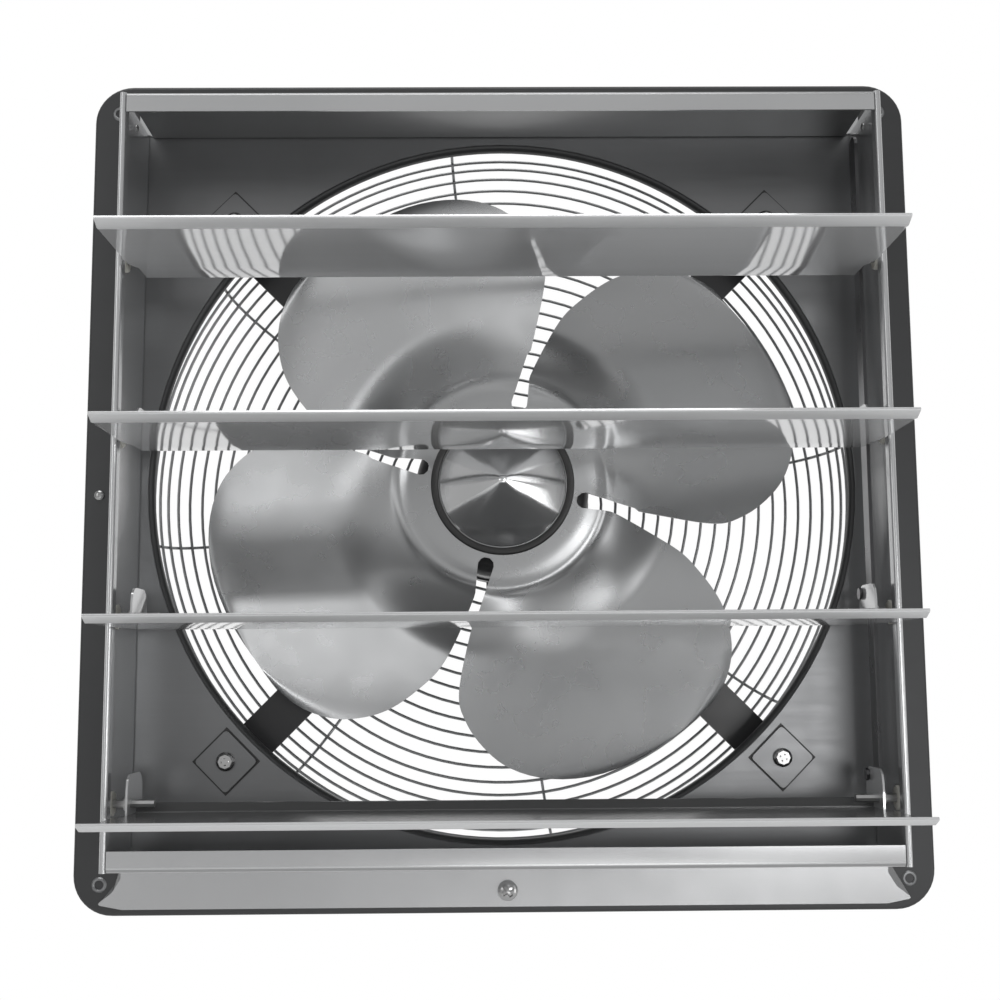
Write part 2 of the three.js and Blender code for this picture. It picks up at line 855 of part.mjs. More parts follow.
// ---------------------------------------------------------------- arms and fixings
// One arm about the axis, drawn along +X: a tab on the motor, the strap, the riser and the foot.
function arm() {
  const half = armSheet / 2;
  const tabRadius = motorRadius + fitGap + half;
  const section = foldedSheet(
    [
      [tabRadius, armY + half - armTabLength],
      [tabRadius, armY + half],
      [armRiserRadius + half, armY + half],
      [armRiserRadius + half, half],
      [armRiserRadius + armFootLength, half],
    ],
    armSheet,
    armBend,
  );
  const strap = alongZ(section, -armWidth / 2, armWidth / 2);
  const housing = barAlongY(motorRadius + fitGap, 0, motorRearY, 0, ringSegments);
  const footHole = barAlongY(armBoltRadius + fitGap, -past, armSheet + past);
  const tabHole = barAlongX(motorBoltRadius + fitGap, motorInner, tabRadius + armSheet);
  return cut(strap, [
    housing,
    footHole.translate([armBoltCircle, 0, 0]),
    tabHole.translate([0, motorBoltY(), 0]),
  ]);
}

const motorBoltY = () => armY - (armTabLength - armSheet) / 2;

function motorBolt() {
  const seat = motorRadius + fitGap + armSheet;
  const bolt = turnedAlongX([
    [0, motorRadius - motorBoltDepth],
    [motorBoltRadius, motorRadius - motorBoltDepth],
    [motorBoltRadius, seat],
    [motorBoltHeadRadius, seat],
    [motorBoltHeadRadius, seat + motorBoltHead],
    [0, seat + motorBoltHead],
  ]);
  return bolt.translate([0, motorBoltY(), 0]);
}

// The holes that the four motor bolts screw into.
function motorBoltHoles() {
  const hole = barAlongX(motorBoltRadius + fitGap, motorInner - past, motorRadius + past);
  const first = hole.translate([0, motorBoltY(), 0]);
  return diagonals.map((angle) => first.rotate([0, -THREE.MathUtils.radToDeg(angle), 0]));
}

function armPad() {
  const outline = roundedRectangle(padSize, padSize, padCorner);
  const plate = alongY(outline, panelFront - padSheet, panelFront, { curveSegments: 1 });
  const hole = barAlongY(armBoltRadius + fitGap, panelFront - 2 * padSheet, 0);
  return plate.translate([armBoltCircle, 0, 0]).subtract(hole.translate([armBoltCircle, 0, 0]));
}

// The bolt through pad, flange, arm and guard, with its nut behind.
function armBolt() {
  const headBack = panelFront - padSheet;
  const nutFront = armSheet + wireThickness;
  const nutBack = nutFront + nutThick;
  const bolt = turned(
    [
      [0, headBack - boltHead],
      [boltHeadRadius - boltHeadChamfer, headBack - boltHead],
      [boltHeadRadius, headBack - boltHead + boltHeadChamfer],
      [boltHeadRadius, headBack],
      [armBoltRadius, headBack],
      [armBoltRadius, nutBack + boltEnd],
      [0, nutBack + boltEnd],
    ],
    smallSegments,
  );
  return bolt.add(hexNut(nutAcrossFlats, nutFront, nutBack, 0)).translate([armBoltCircle, 0, 0]);
}

// ---------------------------------------------------------------- wire guard
// A route through its corners whose equal parameter steps land on the corners themselves.
class WireRoute extends THREE.Curve {
  constructor(corners) {
    super();
    this.corners = corners;
  }

  getPoint(t, target = new THREE.Vector3()) {
    const along = t * (this.corners.length - 1);
    const index = Math.min(Math.floor(along), this.corners.length - 2);
    return target.lerpVectors(this.corners[index], this.corners[index + 1], along - index);
  }

  getUtoTmapping(u) {
    return u;
  }
}

// Ring centres as [radius, Y], from the middle out: the flat face, then the rounded shoulder.
function guardRings(spread = 0) {
  const rings = [[guardInnerRing, guardFaceY + spread]];
  for (let r = guardFaceInner; r < guardShoulderRadius; r += guardRingStep) {
    rings.push([r, guardFaceY + spread]);
  }
  const across = guardSideRadius - guardShoulderRadius + spread;
  const deep = guardFaceY - guardSideY + spread;
  for (let i = 0; i <= guardShoulderRings; i += 1) {
    const angle = (Math.PI / 2) * (1 - i / guardShoulderRings);
    const radius = guardShoulderRadius + across * Math.cos(angle);
    rings.push([radius, guardSideY + deep * Math.sin(angle)]);
  }
  return rings;
}

function wireGuard() {
  const turn = THREE.MathUtils.degToRad(guardSpokeTurn);
  const half = wireThickness / 2;
  const ringAt = ([radius, y], segments) => {
    const halfStep = Math.PI / segments;
    const inner = (radius - half) / Math.cos(halfStep);
    const outer = (radius + half) / Math.cos(halfStep);
    const front = y - half;
    const back = y + half;
    const profile = closed([[inner, front], [outer, front], [outer, back], [inner, back]]);
    return turned(profile, segments).rotate([0, THREE.MathUtils.radToDeg(halfStep - turn), 0]);
  };
  const footY = armSheet + half;
  const parts = guardRings().map((ring) => ringAt(ring, wireSegments));
  parts.push(ringAt([guardFootRadius, footY], footRingSegments));
  const spread = wireThickness - weldSink;
  const face = guardRings(spread).filter(([radius]) => {
    const onFace = radius > guardInnerRing && radius < guardShoulderRadius;
    return !onFace;
  });
  const route = [
    ...face,
    [guardSideRadius + spread, guardSkirtY + guardFootRadius - guardSideRadius],
    [guardSideRadius + 2 * spread, guardSkirtY],
    [guardFootRadius, footY],
  ];
  const section = polygon(4, half * Math.SQRT2, Math.PI / 4);
  for (let i = 0; i < guardSpokes; i += 1) {
    const angle = turn + (2 * Math.PI * i) / guardSpokes;
    const corners = route.map(
      ([radius, y]) => new THREE.Vector3(radius * Math.cos(angle), y, radius * Math.sin(angle)),
    );
    const settings = { steps: corners.length - 1, extrudePath: new WireRoute(corners) };
    parts.push(solid(new THREE.ExtrudeGeometry(section, { ...settings, bevelEnabled: false })));
  }
  for (const angle of diagonals) {
    const x = armBoltCircle * Math.cos(angle);
    const eye = barAlongY(eyeRadius, armSheet, armSheet + wireThickness, armBoltRadius + fitGap);
    parts.push(eye.translate([x, 0, armBoltCircle * Math.sin(angle)]));
  }
  return joined(parts);
}

// ---------------------------------------------------------------- assembly
const darkPaint = metal(0x3f4144, 0.55, 0.5);
const galvanised = metal(0xb4b6b8, 0.38);
const bright = metal(0xc8cacc, 0.28);
const polished = metal(0xdcdedf, 0.15);
const wire = metal(0x8d9093, 0.4);
const black = metal(0x1c1d1f, 0.5, 0.3);
const nylon = metal(0xd8d6cf, 0.6, 0);
const steel = metal(0x9a9c9f, 0.35);
const copper = metal(0xb06a3a, 0.45);

place("flange_panel", flangePanel(), darkPaint);
place("fan_ring", fanRing(), darkPaint.clone());
place("left_wall", sideWall(-1), galvanised.clone());
place("right_wall", sideWall(1), galvanised.clone());
place("top_rail", rail(topFoot), galvanised.clone());
place("bottom_rail", rail(bottomFoot).mirror([0, 0, 1]), galvanised.clone());

pivotHeights().forEach((z, i) => {
  for (const [side, word] of [[-1, "left"], [1, "right"]]) {
    const bush = place(`pivot_bush_${word}_${i + 1}`, pivotBush(side), nylon.clone());
    bush.position.set(0, louverPivotY, z);
  }
  const group = new THREE.Group();
  group.position.set(0, louverPivotY, z);
  place(`louver_${i + 1}`, louver(), bright.clone(), group);
  place(`pivot_pin_left_${i + 1}`, pivotPin(-1), steel.clone(), group);
  place(`pivot_pin_right_${i + 1}`, pivotPin(1), steel.clone(), group);
  fan.add(group);
});

const bar = place("tie_bar", tieBar(), galvanised.clone());
bar.position.set(0, louverPivotY + crankBack, pivotHeights()[0] + crankUp);

const impeller = new THREE.Group();
place("blade_wheel", bladeWheel(), bright.clone(), impeller);
place("spinner_cone", spinnerCone(), polished, impeller);
place("hub_boss", hubBoss(), steel.clone(), impeller);
place("shaft_nut", hexNut(nutAcross, wheelHubY - nutHeight, wheelHubY, shaftHole), steel, impeller);
const shaft = barAlongY(shaftRadius, shaftFrontY, motorRearY - shaftRearInset);
place("motor_shaft", shaft, steel.clone(), impeller);
place(
  "rotor",
  barAlongY(
    statorBore - rotorGap,
    statorFrontY + rotorShort,
    statorRearY - rotorShort,
    shaftHole,
    innerSegments,
  ),
  steel.clone(),
  impeller,
);
fan.add(impeller);

const boltHoles = motorBoltHoles();
place("motor_front_cover", cut(endCover(motorFrontY, coverJointY), boltHoles), black.clone());
place("motor_rear_cover", endCover(motorRearY, coverJointY), black.clone());
place("stator", stator(), steel.clone());
place("front_winding", winding(statorFrontY - windingLength - fitGap), copper.clone());
place("rear_winding", winding(statorRearY + fitGap), copper.clone());
place("front_bearing", bearing(motorFrontY + bearingInset + fitGap), steel.clone());
place("rear_bearing", bearing(motorRearY - bearingInset - bearingLength - fitGap), steel.clone());
place("cable_gland", cableGland(), black.clone());

diagonals.forEach((angle, i) => {
  const corner = new THREE.Group();
  corner.rotation.y = -angle;
  place(`${cornerNames[i]}_arm`, arm(), black.clone(), corner);
  place(`${cornerNames[i]}_arm_pad`, armPad(), steel.clone(), corner);
  place(`${cornerNames[i]}_arm_bolt`, armBolt(), steel.clone(), corner);
  place(`${cornerNames[i]}_motor_bolt`, motorBolt(), steel.clone(), corner);
  fan.add(corner);
});

place("wire_guard", wireGuard(), wire);

export default fan;
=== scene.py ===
import math

import bpy
from mathutils import Matrix, Vector


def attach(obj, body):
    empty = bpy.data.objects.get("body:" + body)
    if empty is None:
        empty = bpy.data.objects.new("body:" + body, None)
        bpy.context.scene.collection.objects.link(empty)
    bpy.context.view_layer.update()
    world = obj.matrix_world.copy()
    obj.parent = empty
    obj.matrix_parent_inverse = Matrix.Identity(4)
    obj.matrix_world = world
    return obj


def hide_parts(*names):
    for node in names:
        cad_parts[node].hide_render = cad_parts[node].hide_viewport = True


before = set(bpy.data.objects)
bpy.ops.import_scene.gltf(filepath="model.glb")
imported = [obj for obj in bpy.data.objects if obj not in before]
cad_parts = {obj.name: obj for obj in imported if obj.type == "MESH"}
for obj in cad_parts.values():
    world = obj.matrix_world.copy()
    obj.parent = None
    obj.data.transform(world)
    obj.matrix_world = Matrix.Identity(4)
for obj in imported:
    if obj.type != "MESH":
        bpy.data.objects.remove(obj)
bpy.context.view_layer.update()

# ---------------------------------------------------------------- camera
# A lens of about 51 mm a little under a metre in front of the fan and below its axis, looking
# slightly upwards, so the undersides of the upper louvers and the top of the lowest one show.
MM = 0.001  # sizes are in millimetres from here on, apart from the studio's
EYE = Vector((-11.4, -882.7, -122.5)) * MM
LOOK_UP, LOOK_RIGHT, LEAN = 0.127, 0.011, -0.007
forward = Vector((
    math.sin(LOOK_RIGHT) * math.cos(LOOK_UP),
    math.cos(LOOK_RIGHT) * math.cos(LOOK_UP),
    math.sin(LOOK_UP),
))
level = Vector((math.cos(LOOK_RIGHT), -math.sin(LOOK_RIGHT), 0))
upright = level.cross(forward)
right = math.cos(LEAN) * level + math.sin(LEAN) * upright
up = math.cos(LEAN) * upright - math.sin(LEAN) * level
lens = bpy.data.cameras.new("camera")
lens.sensor_width = 36
lens.lens = 51.4
camera = bpy.data.objects.new("camera", lens)
camera.matrix_world = Matrix((
    (right.x, up.x, -forward.x, EYE.x),
    (right.y, up.y, -forward.y, EYE.y),
    (right.z, up.z, -forward.z, EYE.z),
    (0, 0, 0, 1),
))
bpy.context.collection.objects.link(camera)
bpy.context.scene.camera = camera
bpy.context.scene.view_settings.view_transform = "Standard"


# ---------------------------------------------------------------- studio
# A pale room, white beyond the fan and dimmer behind the camera, with a plain floor well under
# the hanging fan. Soft lamps hang overhead and at either side, and two small ones low in front.
class Field:
    """A shader socket whose arithmetic adds Math nodes behind it."""

    def __init__(self, tree, socket=None):
        self.tree = tree
        self.socket = socket

    def node(self, kind, settings=None, inputs=None, output=0):
        """Add a node, its settings first, and give back one of its outputs."""
        made = self.tree.nodes.new(kind)
        for name, value in (settings or {}).items():
            if name == "stops":
                self.set_stops(made.color_ramp.elements, value)
            else:
                setattr(made, name, value)
        for name, value in (inputs or {}).items():
            if isinstance(value, Field):
                self.tree.links.new(value.socket, made.inputs[name])
            else:
                made.inputs[name].default_value = value
        return Field(self.tree, made.outputs[output])

    @staticmethod
    def set_stops(elements, stops):
        """Give a ramp its grey stops, each a place and a level."""
        while len(elements) < len(stops):
            elements.new(0.5)
        for element, (place, grey) in zip(elements, stops):
            element.position = place
            element.color = (grey, grey, grey, 1)

    def math(self, operation, first, second):
        return self.node("ShaderNodeMath", {"operation": operation}, {0: first, 1: second})

    def __add__(self, other):
        return self.math("ADD", self, other)

    def __radd__(self, other):
        return self.math("ADD", other, self)

    def __sub__(self, other):
        return self.math("SUBTRACT", self, other)

    def __rsub__(self, other):
        return self.math("SUBTRACT", other, self)

    def __mul__(self, other):
        return self.math("MULTIPLY", self, other)

    def __rmul__(self, other):
        return self.math("MULTIPLY", other, self)


# Greys of the room, from behind the camera (0) to straight behind the fan (1).
ROOM_GREYS = ((0.0, 0.62), (0.1, 0.56), (0.24, 0.44), (0.42, 0.52), (0.60, 0.88), (0.86, 1.0))
world = bpy.data.worlds.new("pale room")
bpy.context.scene.world = world
world.use_nodes = True
room = world.node_tree.nodes["Background"]
outwards = Field(world.node_tree).node("ShaderNodeTexCoord", output="Generated")
depth = outwards.node("ShaderNodeSeparateXYZ", {}, {0: outwards}, "Y") * 0.5 + 0.5
grey = depth.node("ShaderNodeValToRGB", {"stops": ROOM_GREYS}, {0: depth})
world.node_tree.links.new(grey.socket, room.inputs["Color"])
room.inputs["Strength"].default_value = 1.0

LAMPS = (
    # name, place and target in metres, width and height in metres, watts
    ("overhead", (-0.2, -0.7, 2.1), (0, 0, 0), 1.6, 0.9, 18),
    ("left_window", (-1.45, -1.85, 0.5), (0, 0, 0), 0.7, 1.6, 5.0),
    ("right_window", (1.92, -1.38, -0.55), (0, 0, 0), 0.8, 1.0, 6.0),
    ("low_right", (0.64, -1.8, -0.17), (0.15, 0, -0.15), 0.6, 0.34, 3.6),
    ("low_front", (0.22, -1.8, -0.82), (0, 0, -0.1), 0.6, 0.3, 1.4),
)
for lamp_name, place, target, width, height, watts in LAMPS:
    light = bpy.data.lights.new(lamp_name, "AREA")
    light.shape = "RECTANGLE"
    light.size = width
    light.size_y = height
    light.energy = watts
    lamp = bpy.data.objects.new(lamp_name, light)
    lamp.location = place
    aim = Vector(target) - Vector(place)
    lamp.rotation_euler = aim.to_track_quat("-Z", "Y").to_euler()
    bpy.context.collection.objects.link(lamp)

FLOOR_HALF, FLOOR_DROP = 3.0, 1.1
pale_floor = bpy.data.materials.new("pale floor")
pale_floor.use_nodes = True
matt = pale_floor.node_tree.nodes["Principled BSDF"]
matt.inputs["Base Color"].default_value = (0.9, 0.9, 0.9, 1)
matt.inputs["Roughness"].default_value = 0.9
floor_mesh = bpy.data.meshes.new("floor")
floor_corners = ((-1, -1), (1, -1), (1, 1), (-1, 1))
floor_mesh.from_pydata(
    [(FLOOR_HALF * x, FLOOR_HALF * y, -FLOOR_DROP) for x, y in floor_corners], [], [(0, 1, 2, 3)]
)
floor_mesh.materials.append(pale_floor)
floor = bpy.data.objects.new("floor", floor_mesh)
bpy.context.collection.objects.link(floor)


# ---------------------------------------------------------------- flange panel
# One square of dark coated sheet with round corners, its rim rolled back all round and painted
# darker, with a round opening in its middle. The shutter box and the ring are welded to it.
def sheet_metal(
    name, colour, roughness, grain, metallic=1.0, mottle=0.12, coat=0.0, relief=0.1, coat_and_shade_share=1.0
):
    """Sheet with a rolled grain, faint clouds in its colour and handling marks in its gloss.

    grain says how fast the grain changes along X, Y and Z, per metre. Faces in the mask keep
    only the given share of their colour and are less glossy: on the flange's rim and back for its
    darker coat, and as painted shade on the louvers' tops and the rails' webs.
    """
    clouds_per_metre, marks_per_metre = 9.0, 55.0
    duller_coat_and_shade = 0.12
    material = bpy.data.materials.new(name)
    material.use_nodes = True
    tree = material.node_tree
    shader = tree.nodes["Principled BSDF"]
    place = Field(tree).node("ShaderNodeTexCoord", output="Object")

    def noise(spot, scale, detail):
        inputs = {"Vector": spot, "Scale": scale, "Detail": detail}
        return place.node("ShaderNodeTexNoise", {}, inputs) - 0.5

    along = place.node("ShaderNodeMapping", {}, {"Vector": place, "Scale": grain})
    lines = noise(along, 1.0, 3.0)
    cloud = noise(place, clouds_per_metre, 4.0)
    marks = noise(place, marks_per_metre, 2.0)
    shade = cloud * mottle + lines * (0.8 * mottle) + 1.0
    gloss = (cloud * 0.35 + marks * 0.25 + lines * 0.3 + 1.0) * roughness
    # Faces in the mask are darker: a darker coat on the flange, painted shade on louvers and rails.
    if coat_and_shade_share < 1:
        painted = place.node("ShaderNodeAttribute", {"attribute_name": "painted"}, output="Fac")
        shade = shade * (1.0 - (1 - coat_and_shade_share) * painted)
        gloss = gloss + painted * duller_coat_and_shade
    tint = place.node("ShaderNodeVectorMath", {"operation": "SCALE"}, {0: colour, "Scale": shade})
    height = lines + marks * 0.3
    bumps = place.node(
        "ShaderNodeBump", {}, {"Strength": relief, "Distance": 0.2 * MM, "Height": height}
    )
    tree.links.new(tint.socket, shader.inputs["Base Color"])
    tree.links.new(gloss.socket, shader.inputs["Roughness"])
    tree.links.new(bumps.socket, shader.inputs["Normal"])
    shader.inputs["Metallic"].default_value = metallic
    shader.inputs["Coat Weight"].default_value = coat
    shader.inputs["Coat Roughness"].default_value = 0.12
    return material


def put(name, shape, material, body, slot, *nodes, crease=32, painted=None):
    """Make a piece of a shape in millimetres, smooth but for its creases, riding on a body.

    The mask says from a face's middle whether that face is darkened: for the flange's darker
    coat, and as painted shade on the louvers' tops and the rails' webs.
    """
    vertices, faces = shape
    mesh = bpy.data.meshes.new(name)
    mesh.from_pydata([tuple(c * MM for c in v) for v in vertices], [], faces)
    mesh.validate()
    mesh.shade_smooth()
    mesh.set_sharp_from_angle(angle=math.radians(crease))
    mesh.materials.append(material)
    if painted:
        marks = mesh.attributes.new("painted", "FLOAT", "FACE")
        for face in mesh.polygons:
            marks.data[face.index].value = float(painted(*(c / MM for c in face.center)))
    piece = bpy.data.objects.new(name, mesh)
    bpy.context.collection.objects.link(piece)
    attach(piece, body)
    if nodes:
        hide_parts(*nodes)


def loops(rows, closed=True):
    """Faces between rows of points, each row a closed ring, and the last joined to the first."""
    count = len(rows[0])
    vertices = [point for row in rows for point in row]
    faces = []
    spans = len(rows) if closed else len(rows) - 1
    for i in range(spans):
        a, b = i * count, ((i + 1) % len(rows)) * count
        for j in range(count):
            k = (j + 1) % count
            faces.append((a + j, a + k, b + k, b + j))
    return vertices, faces


def round_square(half, corner):
    """Points round a square with round corners, the same number whatever its size."""
    corner_steps, side_steps = 10, 24
    inner = half - corner
    points = []
    for quarter in range(4):
        turn = quarter * math.pi / 2
        spot = [(half, -inner + 2 * inner * i / side_steps) for i in range(side_steps)]
        for i in range(corner_steps):
            angle = i * math.pi / 2 / corner_steps
            spot.append((inner + corner * math.cos(angle), inner + corner * math.sin(angle)))
        for x, z in spot:
            points.append((
                x * math.cos(turn) - z * math.sin(turn),
                x * math.sin(turn) + z * math.cos(turn),
            ))
    return points


SHEET = 1.2
FLANGE_HALF = 260
FLANGE_CORNER = 24
RIM_DEPTH = 5
RIM_ROLL = 2.4
BOX_HALF, BOX_CORNER = 226, 2
OPENING = 216.5
OPENING_WIDER = 3.8  # so that the ring's rolled edge shows inside the panel's
dark_sheet = sheet_metal(
    "dark coated sheet", (0.205, 0.208, 0.212), 0.34, (14, 60, 300),
    metallic=0.75, mottle=0.10, coat_and_shade_share=0.27,
)


def flange_skin():
    """Rows from the rim's rear edge over its roll and the face to the opening, and back inside."""
    inner_roll = RIM_ROLL - SHEET
    edge, edge_round = OPENING + OPENING_WIDER, 0.4
    outer_steps, inner_steps = 5, 3

    def square(inset, y):
        return [(x, y, z) for x, z in round_square(FLANGE_HALF - inset, FLANGE_CORNER - inset)]

    def circle(radius, y):
        points = []
        for x, z in round_square(FLANGE_HALF, FLANGE_CORNER):
            reach = math.hypot(x, z)
            points.append((radius * x / reach, y, radius * z / reach))
        return points

    rows = [square(0, RIM_DEPTH)]
    for i in range(outer_steps + 1):
        angle = math.pi / 2 / outer_steps * i
        lean, rise = 1 - math.cos(angle), 1 - math.sin(angle)
        rows.append(square(RIM_ROLL * lean, -SHEET + RIM_ROLL * rise))
    rows.append([(x, -SHEET, z) for x, z in round_square(BOX_HALF, BOX_CORNER)])
    rows += [circle(edge + edge_round, -SHEET), circle(edge, -SHEET + edge_round), circle(edge, 0)]
    for i in range(inner_steps + 1):
        angle = math.pi / 2 / inner_steps * (inner_steps - i)
        lean, rise = 1 - math.cos(angle), 1 - math.sin(angle)
        rows.append(square(SHEET + inner_roll * lean, inner_roll * rise))
    rows.append(square(SHEET, RIM_DEPTH))
    return loops(rows)


def on_rim_or_back(x, y, z):
    return y > -SHEET / 2 or max(abs(x), abs(z)) > BOX_HALF


put(
    "flange_panel_skin", flange_skin(), dark_sheet, "fan_frame", "dark_sheet", "flange_panel",
    painted=on_rim_or_back,
)


# ---------------------------------------------------------------- fan ring
# The collar that lines the opening: rolled from the same dark sheet, flanged where it is welded
# behind the panel and beaded along its rear edge to keep it round.
RING_INNER = OPENING + 0.6
RING_FLANGE = OPENING + 9
RING_DEPTH = 6
RING_BEND = 3.2
RING_BEAD = 1.2


def turned(profile, segments):
    """A closed profile of (radius, Y) turned about the fan's axis."""
    rows = []
    for i in range(segments):
        angle = 2 * math.pi * i / segments
        rows.append([(r * math.cos(angle), y, r * math.sin(angle)) for r, y in profile])
    return loops(rows)


def arc(radius, y, size, start, end, steps=6):
    """Points of a profile along an arc about (radius, y), from one angle to another in degrees."""
    points = []
    for i in range(steps + 1):
        angle = math.radians(start + (end - start) * i / steps)
        points.append((radius + size * math.cos(angle), y + size * math.sin(angle)))
    return points


ring_profile = [
    (RING_INNER, RING_BEND),
    *arc(RING_INNER + RING_BEND, RING_BEND, RING_BEND, 180, 270)[1:],
    (RING_FLANGE, 0),
    (RING_FLANGE, SHEET),
    *arc(RING_INNER + RING_BEND, RING_BEND, RING_BEND - SHEET, 270, 180),
    *arc(RING_INNER + SHEET, RING_DEPTH - RING_BEAD, RING_BEAD, -90, 90, 8)[1:],
    (RING_INNER, RING_DEPTH),
]
# Every face of the ring is in the mask, so it takes the darker share and shows as a dark line round
# the opening.
put(
    "fan_ring_skin", turned(ring_profile, 192), dark_sheet, "fan_frame", "dark_sheet", "fan_ring",
    painted=lambda x, y, z: True,
)


# ---------------------------------------------------------------- shutter box
# Two side walls and two rails of zinc-coated sheet: the walls end in a closed hem, the rails in
# a lip, and all four stand on feet spot-welded to the flange.
HEM, HEM_DEPTH = 3.8, 8
BOX_FRONT = -72.2
WALL_FOOT, WALL_BEND = 10, 1.4
RAIL_LIP, RAIL_BEND = 12, 2.6
RAIL_HALF = BOX_HALF - HEM - 0.3
RAIL_END = 12  # length at each end in which a foot's outer corner is cut back
# Places up a rail's foot, as shares of its height, where its sides may bend; the last lies a
# hair past the edge, so that the edge falls in the last span.
FOOT_SHARES = (0, 0.12, 0.4, 0.67, 0.87, 1.001)
RAILS = (
    # side, word, height of the foot, and how far its sides stand out at each share
    (1, "top", 22, (0, 9, 9, 9, 9, 3)),
    (-1, "bottom", 30, (0, 9, 9, 14, 22, 21)),
)
# Faces in the mask keep 0.6 of this colour: painted shade on the rails' inner webs.
zinc_sheet = sheet_metal(
    "zinc coated sheet", (0.50, 0.505, 0.51), 0.22, (6, 90, 6),
    metallic=0.78, mottle=0.10, coat_and_shade_share=0.6,
)


def folded(corners, thickness, bend):
    """The outline of a sheet folded along a line of corners, each bend a round one."""
    steps, too_near = 5, 0.001
    line = []
    for i, corner in enumerate(corners):
        here = Vector(corner)
        if i in (0, len(corners) - 1):
            line.append(here)
            continue
        before, after = Vector(corners[i - 1]), Vector(corners[i + 1])
        reach = min(bend, (here - before).length / 2, (here - after).length / 2)
        start = here + (before - here).normalized() * reach
        end = here + (after - here).normalized() * reach
        for j in range(steps + 1):
            t = j / steps
            point = start * (1 - t) ** 2 + here * 2 * t * (1 - t) + end * t ** 2
            if (point - line[-1]).length > too_near:
                line.append(point)
    one_side, other_side = [], []
    for i, point in enumerate(line):
        into = (point - line[max(i - 1, 0)]).normalized()
        out = (line[min(i + 1, len(line) - 1)] - point).normalized()
        along = (into + out).normalized()
        scale = thickness / 2 / (along.dot(out) if 0 < i < len(line) - 1 else 1)
        offset = Vector((-along.y, along.x)) * scale
        one_side.append(point + offset)
        other_side.append(point - offset)
    return [tuple(p) for p in one_side + other_side[::-1]]


def run(outline, stations, spot):
    """An outline carried through stations; spot turns (a, b, station) into a place."""
    rows = [[spot(a, b, s) for a, b in outline] for s in stations]
    vertices, faces = loops(rows, closed=False)
    last = (len(rows) - 1) * len(outline)
    faces.append(tuple(range(len(outline))))
    faces.append(tuple(last + i for i in reversed(range(len(outline)))))
    return vertices, faces


def side_wall(side, word):
    half = SHEET / 2
    outline = folded(
        [
            (BOX_HALF + WALL_FOOT, -SHEET - half),
            (BOX_HALF - half, -SHEET - half),
            (BOX_HALF - half, BOX_FRONT + half),
            (BOX_HALF - HEM + half, BOX_FRONT + half),
            (BOX_HALF - HEM + half, BOX_FRONT + HEM_DEPTH),
        ],
        SHEET,
        WALL_BEND,
    )
    skin = run(outline, (-BOX_HALF, BOX_HALF), lambda a, b, s: (side * a, b, s))
    node = f"{word}_wall"
    put(f"{node}_skin", skin, zinc_sheet, "fan_frame", "galvanised_sheet", node, crease=60)


def rail(side, word, foot, flare):
    """One rail: its foot, its web and its lip. The web's inner face is darkened as painted shade.
    """
    half = SHEET / 2
    web = BOX_HALF - half
    cut_from, cut_slope = 0.9, 25  # the share of the foot where the cut starts, and its depth
    shade_band_depth = 2
    outline = folded(
        [(-SHEET - half, BOX_HALF + foot * share) for share in (1, *FOOT_SHARES[4:0:-1])]
        + [(-SHEET - half, web), (BOX_FRONT + half, web), (BOX_FRONT + half, BOX_HALF - RAIL_LIP)],
        SHEET,
        RAIL_BEND,
    )

    def spot(a, b, s):
        place = min(max((b - BOX_HALF) / foot, 0), 1)
        i = next(i for i in range(5) if place < FOOT_SHARES[i + 1])
        part = (place - FOOT_SHARES[i]) / (FOOT_SHARES[i + 1] - FOOT_SHARES[i])
        wider = flare[i] + (flare[i + 1] - flare[i]) * part
        corner_cut = max(place - cut_from, 0) * cut_slope if abs(s) == RAIL_HALF else 0
        return (s * (1 + wider / RAIL_HALF), a, side * (b - corner_cut))

    skin = run(outline, [-RAIL_HALF, -RAIL_HALF + RAIL_END, RAIL_HALF - RAIL_END, RAIL_HALF], spot)
    node = f"{word}_rail"
    put(
        f"{node}_skin", skin, zinc_sheet, "fan_frame", "galvanised_sheet", node, crease=60,
        painted=lambda x, y, z: web - shade_band_depth < side * z < web,
    )


side_wall(-1, "left")
side_wall(1, "right")
for rail_sizes in RAILS:
    rail(*rail_sizes)


# ---------------------------------------------------------------- louvers
# Four blades of bright rolled sheet, bent up in front, where a brushed hem is rolled over the
# edge, and turned up at the tail. Each stands on an upright ear at either end.
PIVOT_Y = -52.7
TOP_PIVOT_Z = 128.5
LOUVER_PITCH = 106
LOUVER_SHEET, LOUVER_BEND = 1.0, 1.3
PLATE_Z = -6.5  # from the pivot
LOUVER_FRONT, LOUVER_TAIL = 92, 12.2
LIP_RUN, LIP_RISE, LIP_SLOPE = 6.6, 3.4, 0.515
TAIL_RISE, TAIL_LEAN = 6, 1.6
LOUVER_HALF, EAR_HALF = 219, 214.6
EAR_SHEET = 1.2
EAR_FRONT = 9
EAR_TOP = 23.3
TAPER = 14  # length over which the blade narrows to go between its ears
ACROSS_LOUVER = (-1, -0.5, 0, 0.5, 1)
# Faces in the mask keep 0.32 of this colour: painted shade on the louvers' tops and tails.
bright_sheet = sheet_metal(
    "bright rolled sheet", (0.60, 0.605, 0.61), 0.075, (5, 160, 160),
    metallic=0.55, mottle=0.06, relief=0.02, coat_and_shade_share=0.32,
)
brushed_hem = sheet_metal(
    "brushed hem", (0.56, 0.565, 0.57), 0.45, (5, 300, 300), metallic=0.3, mottle=0.08
)


def join(*shapes):
    """Several shapes as one."""
    vertices, faces = [], []
    for more, sides in shapes:
        base = len(vertices)
        vertices += more
        faces += [tuple(base + i for i in face) for face in sides]
    return vertices, faces


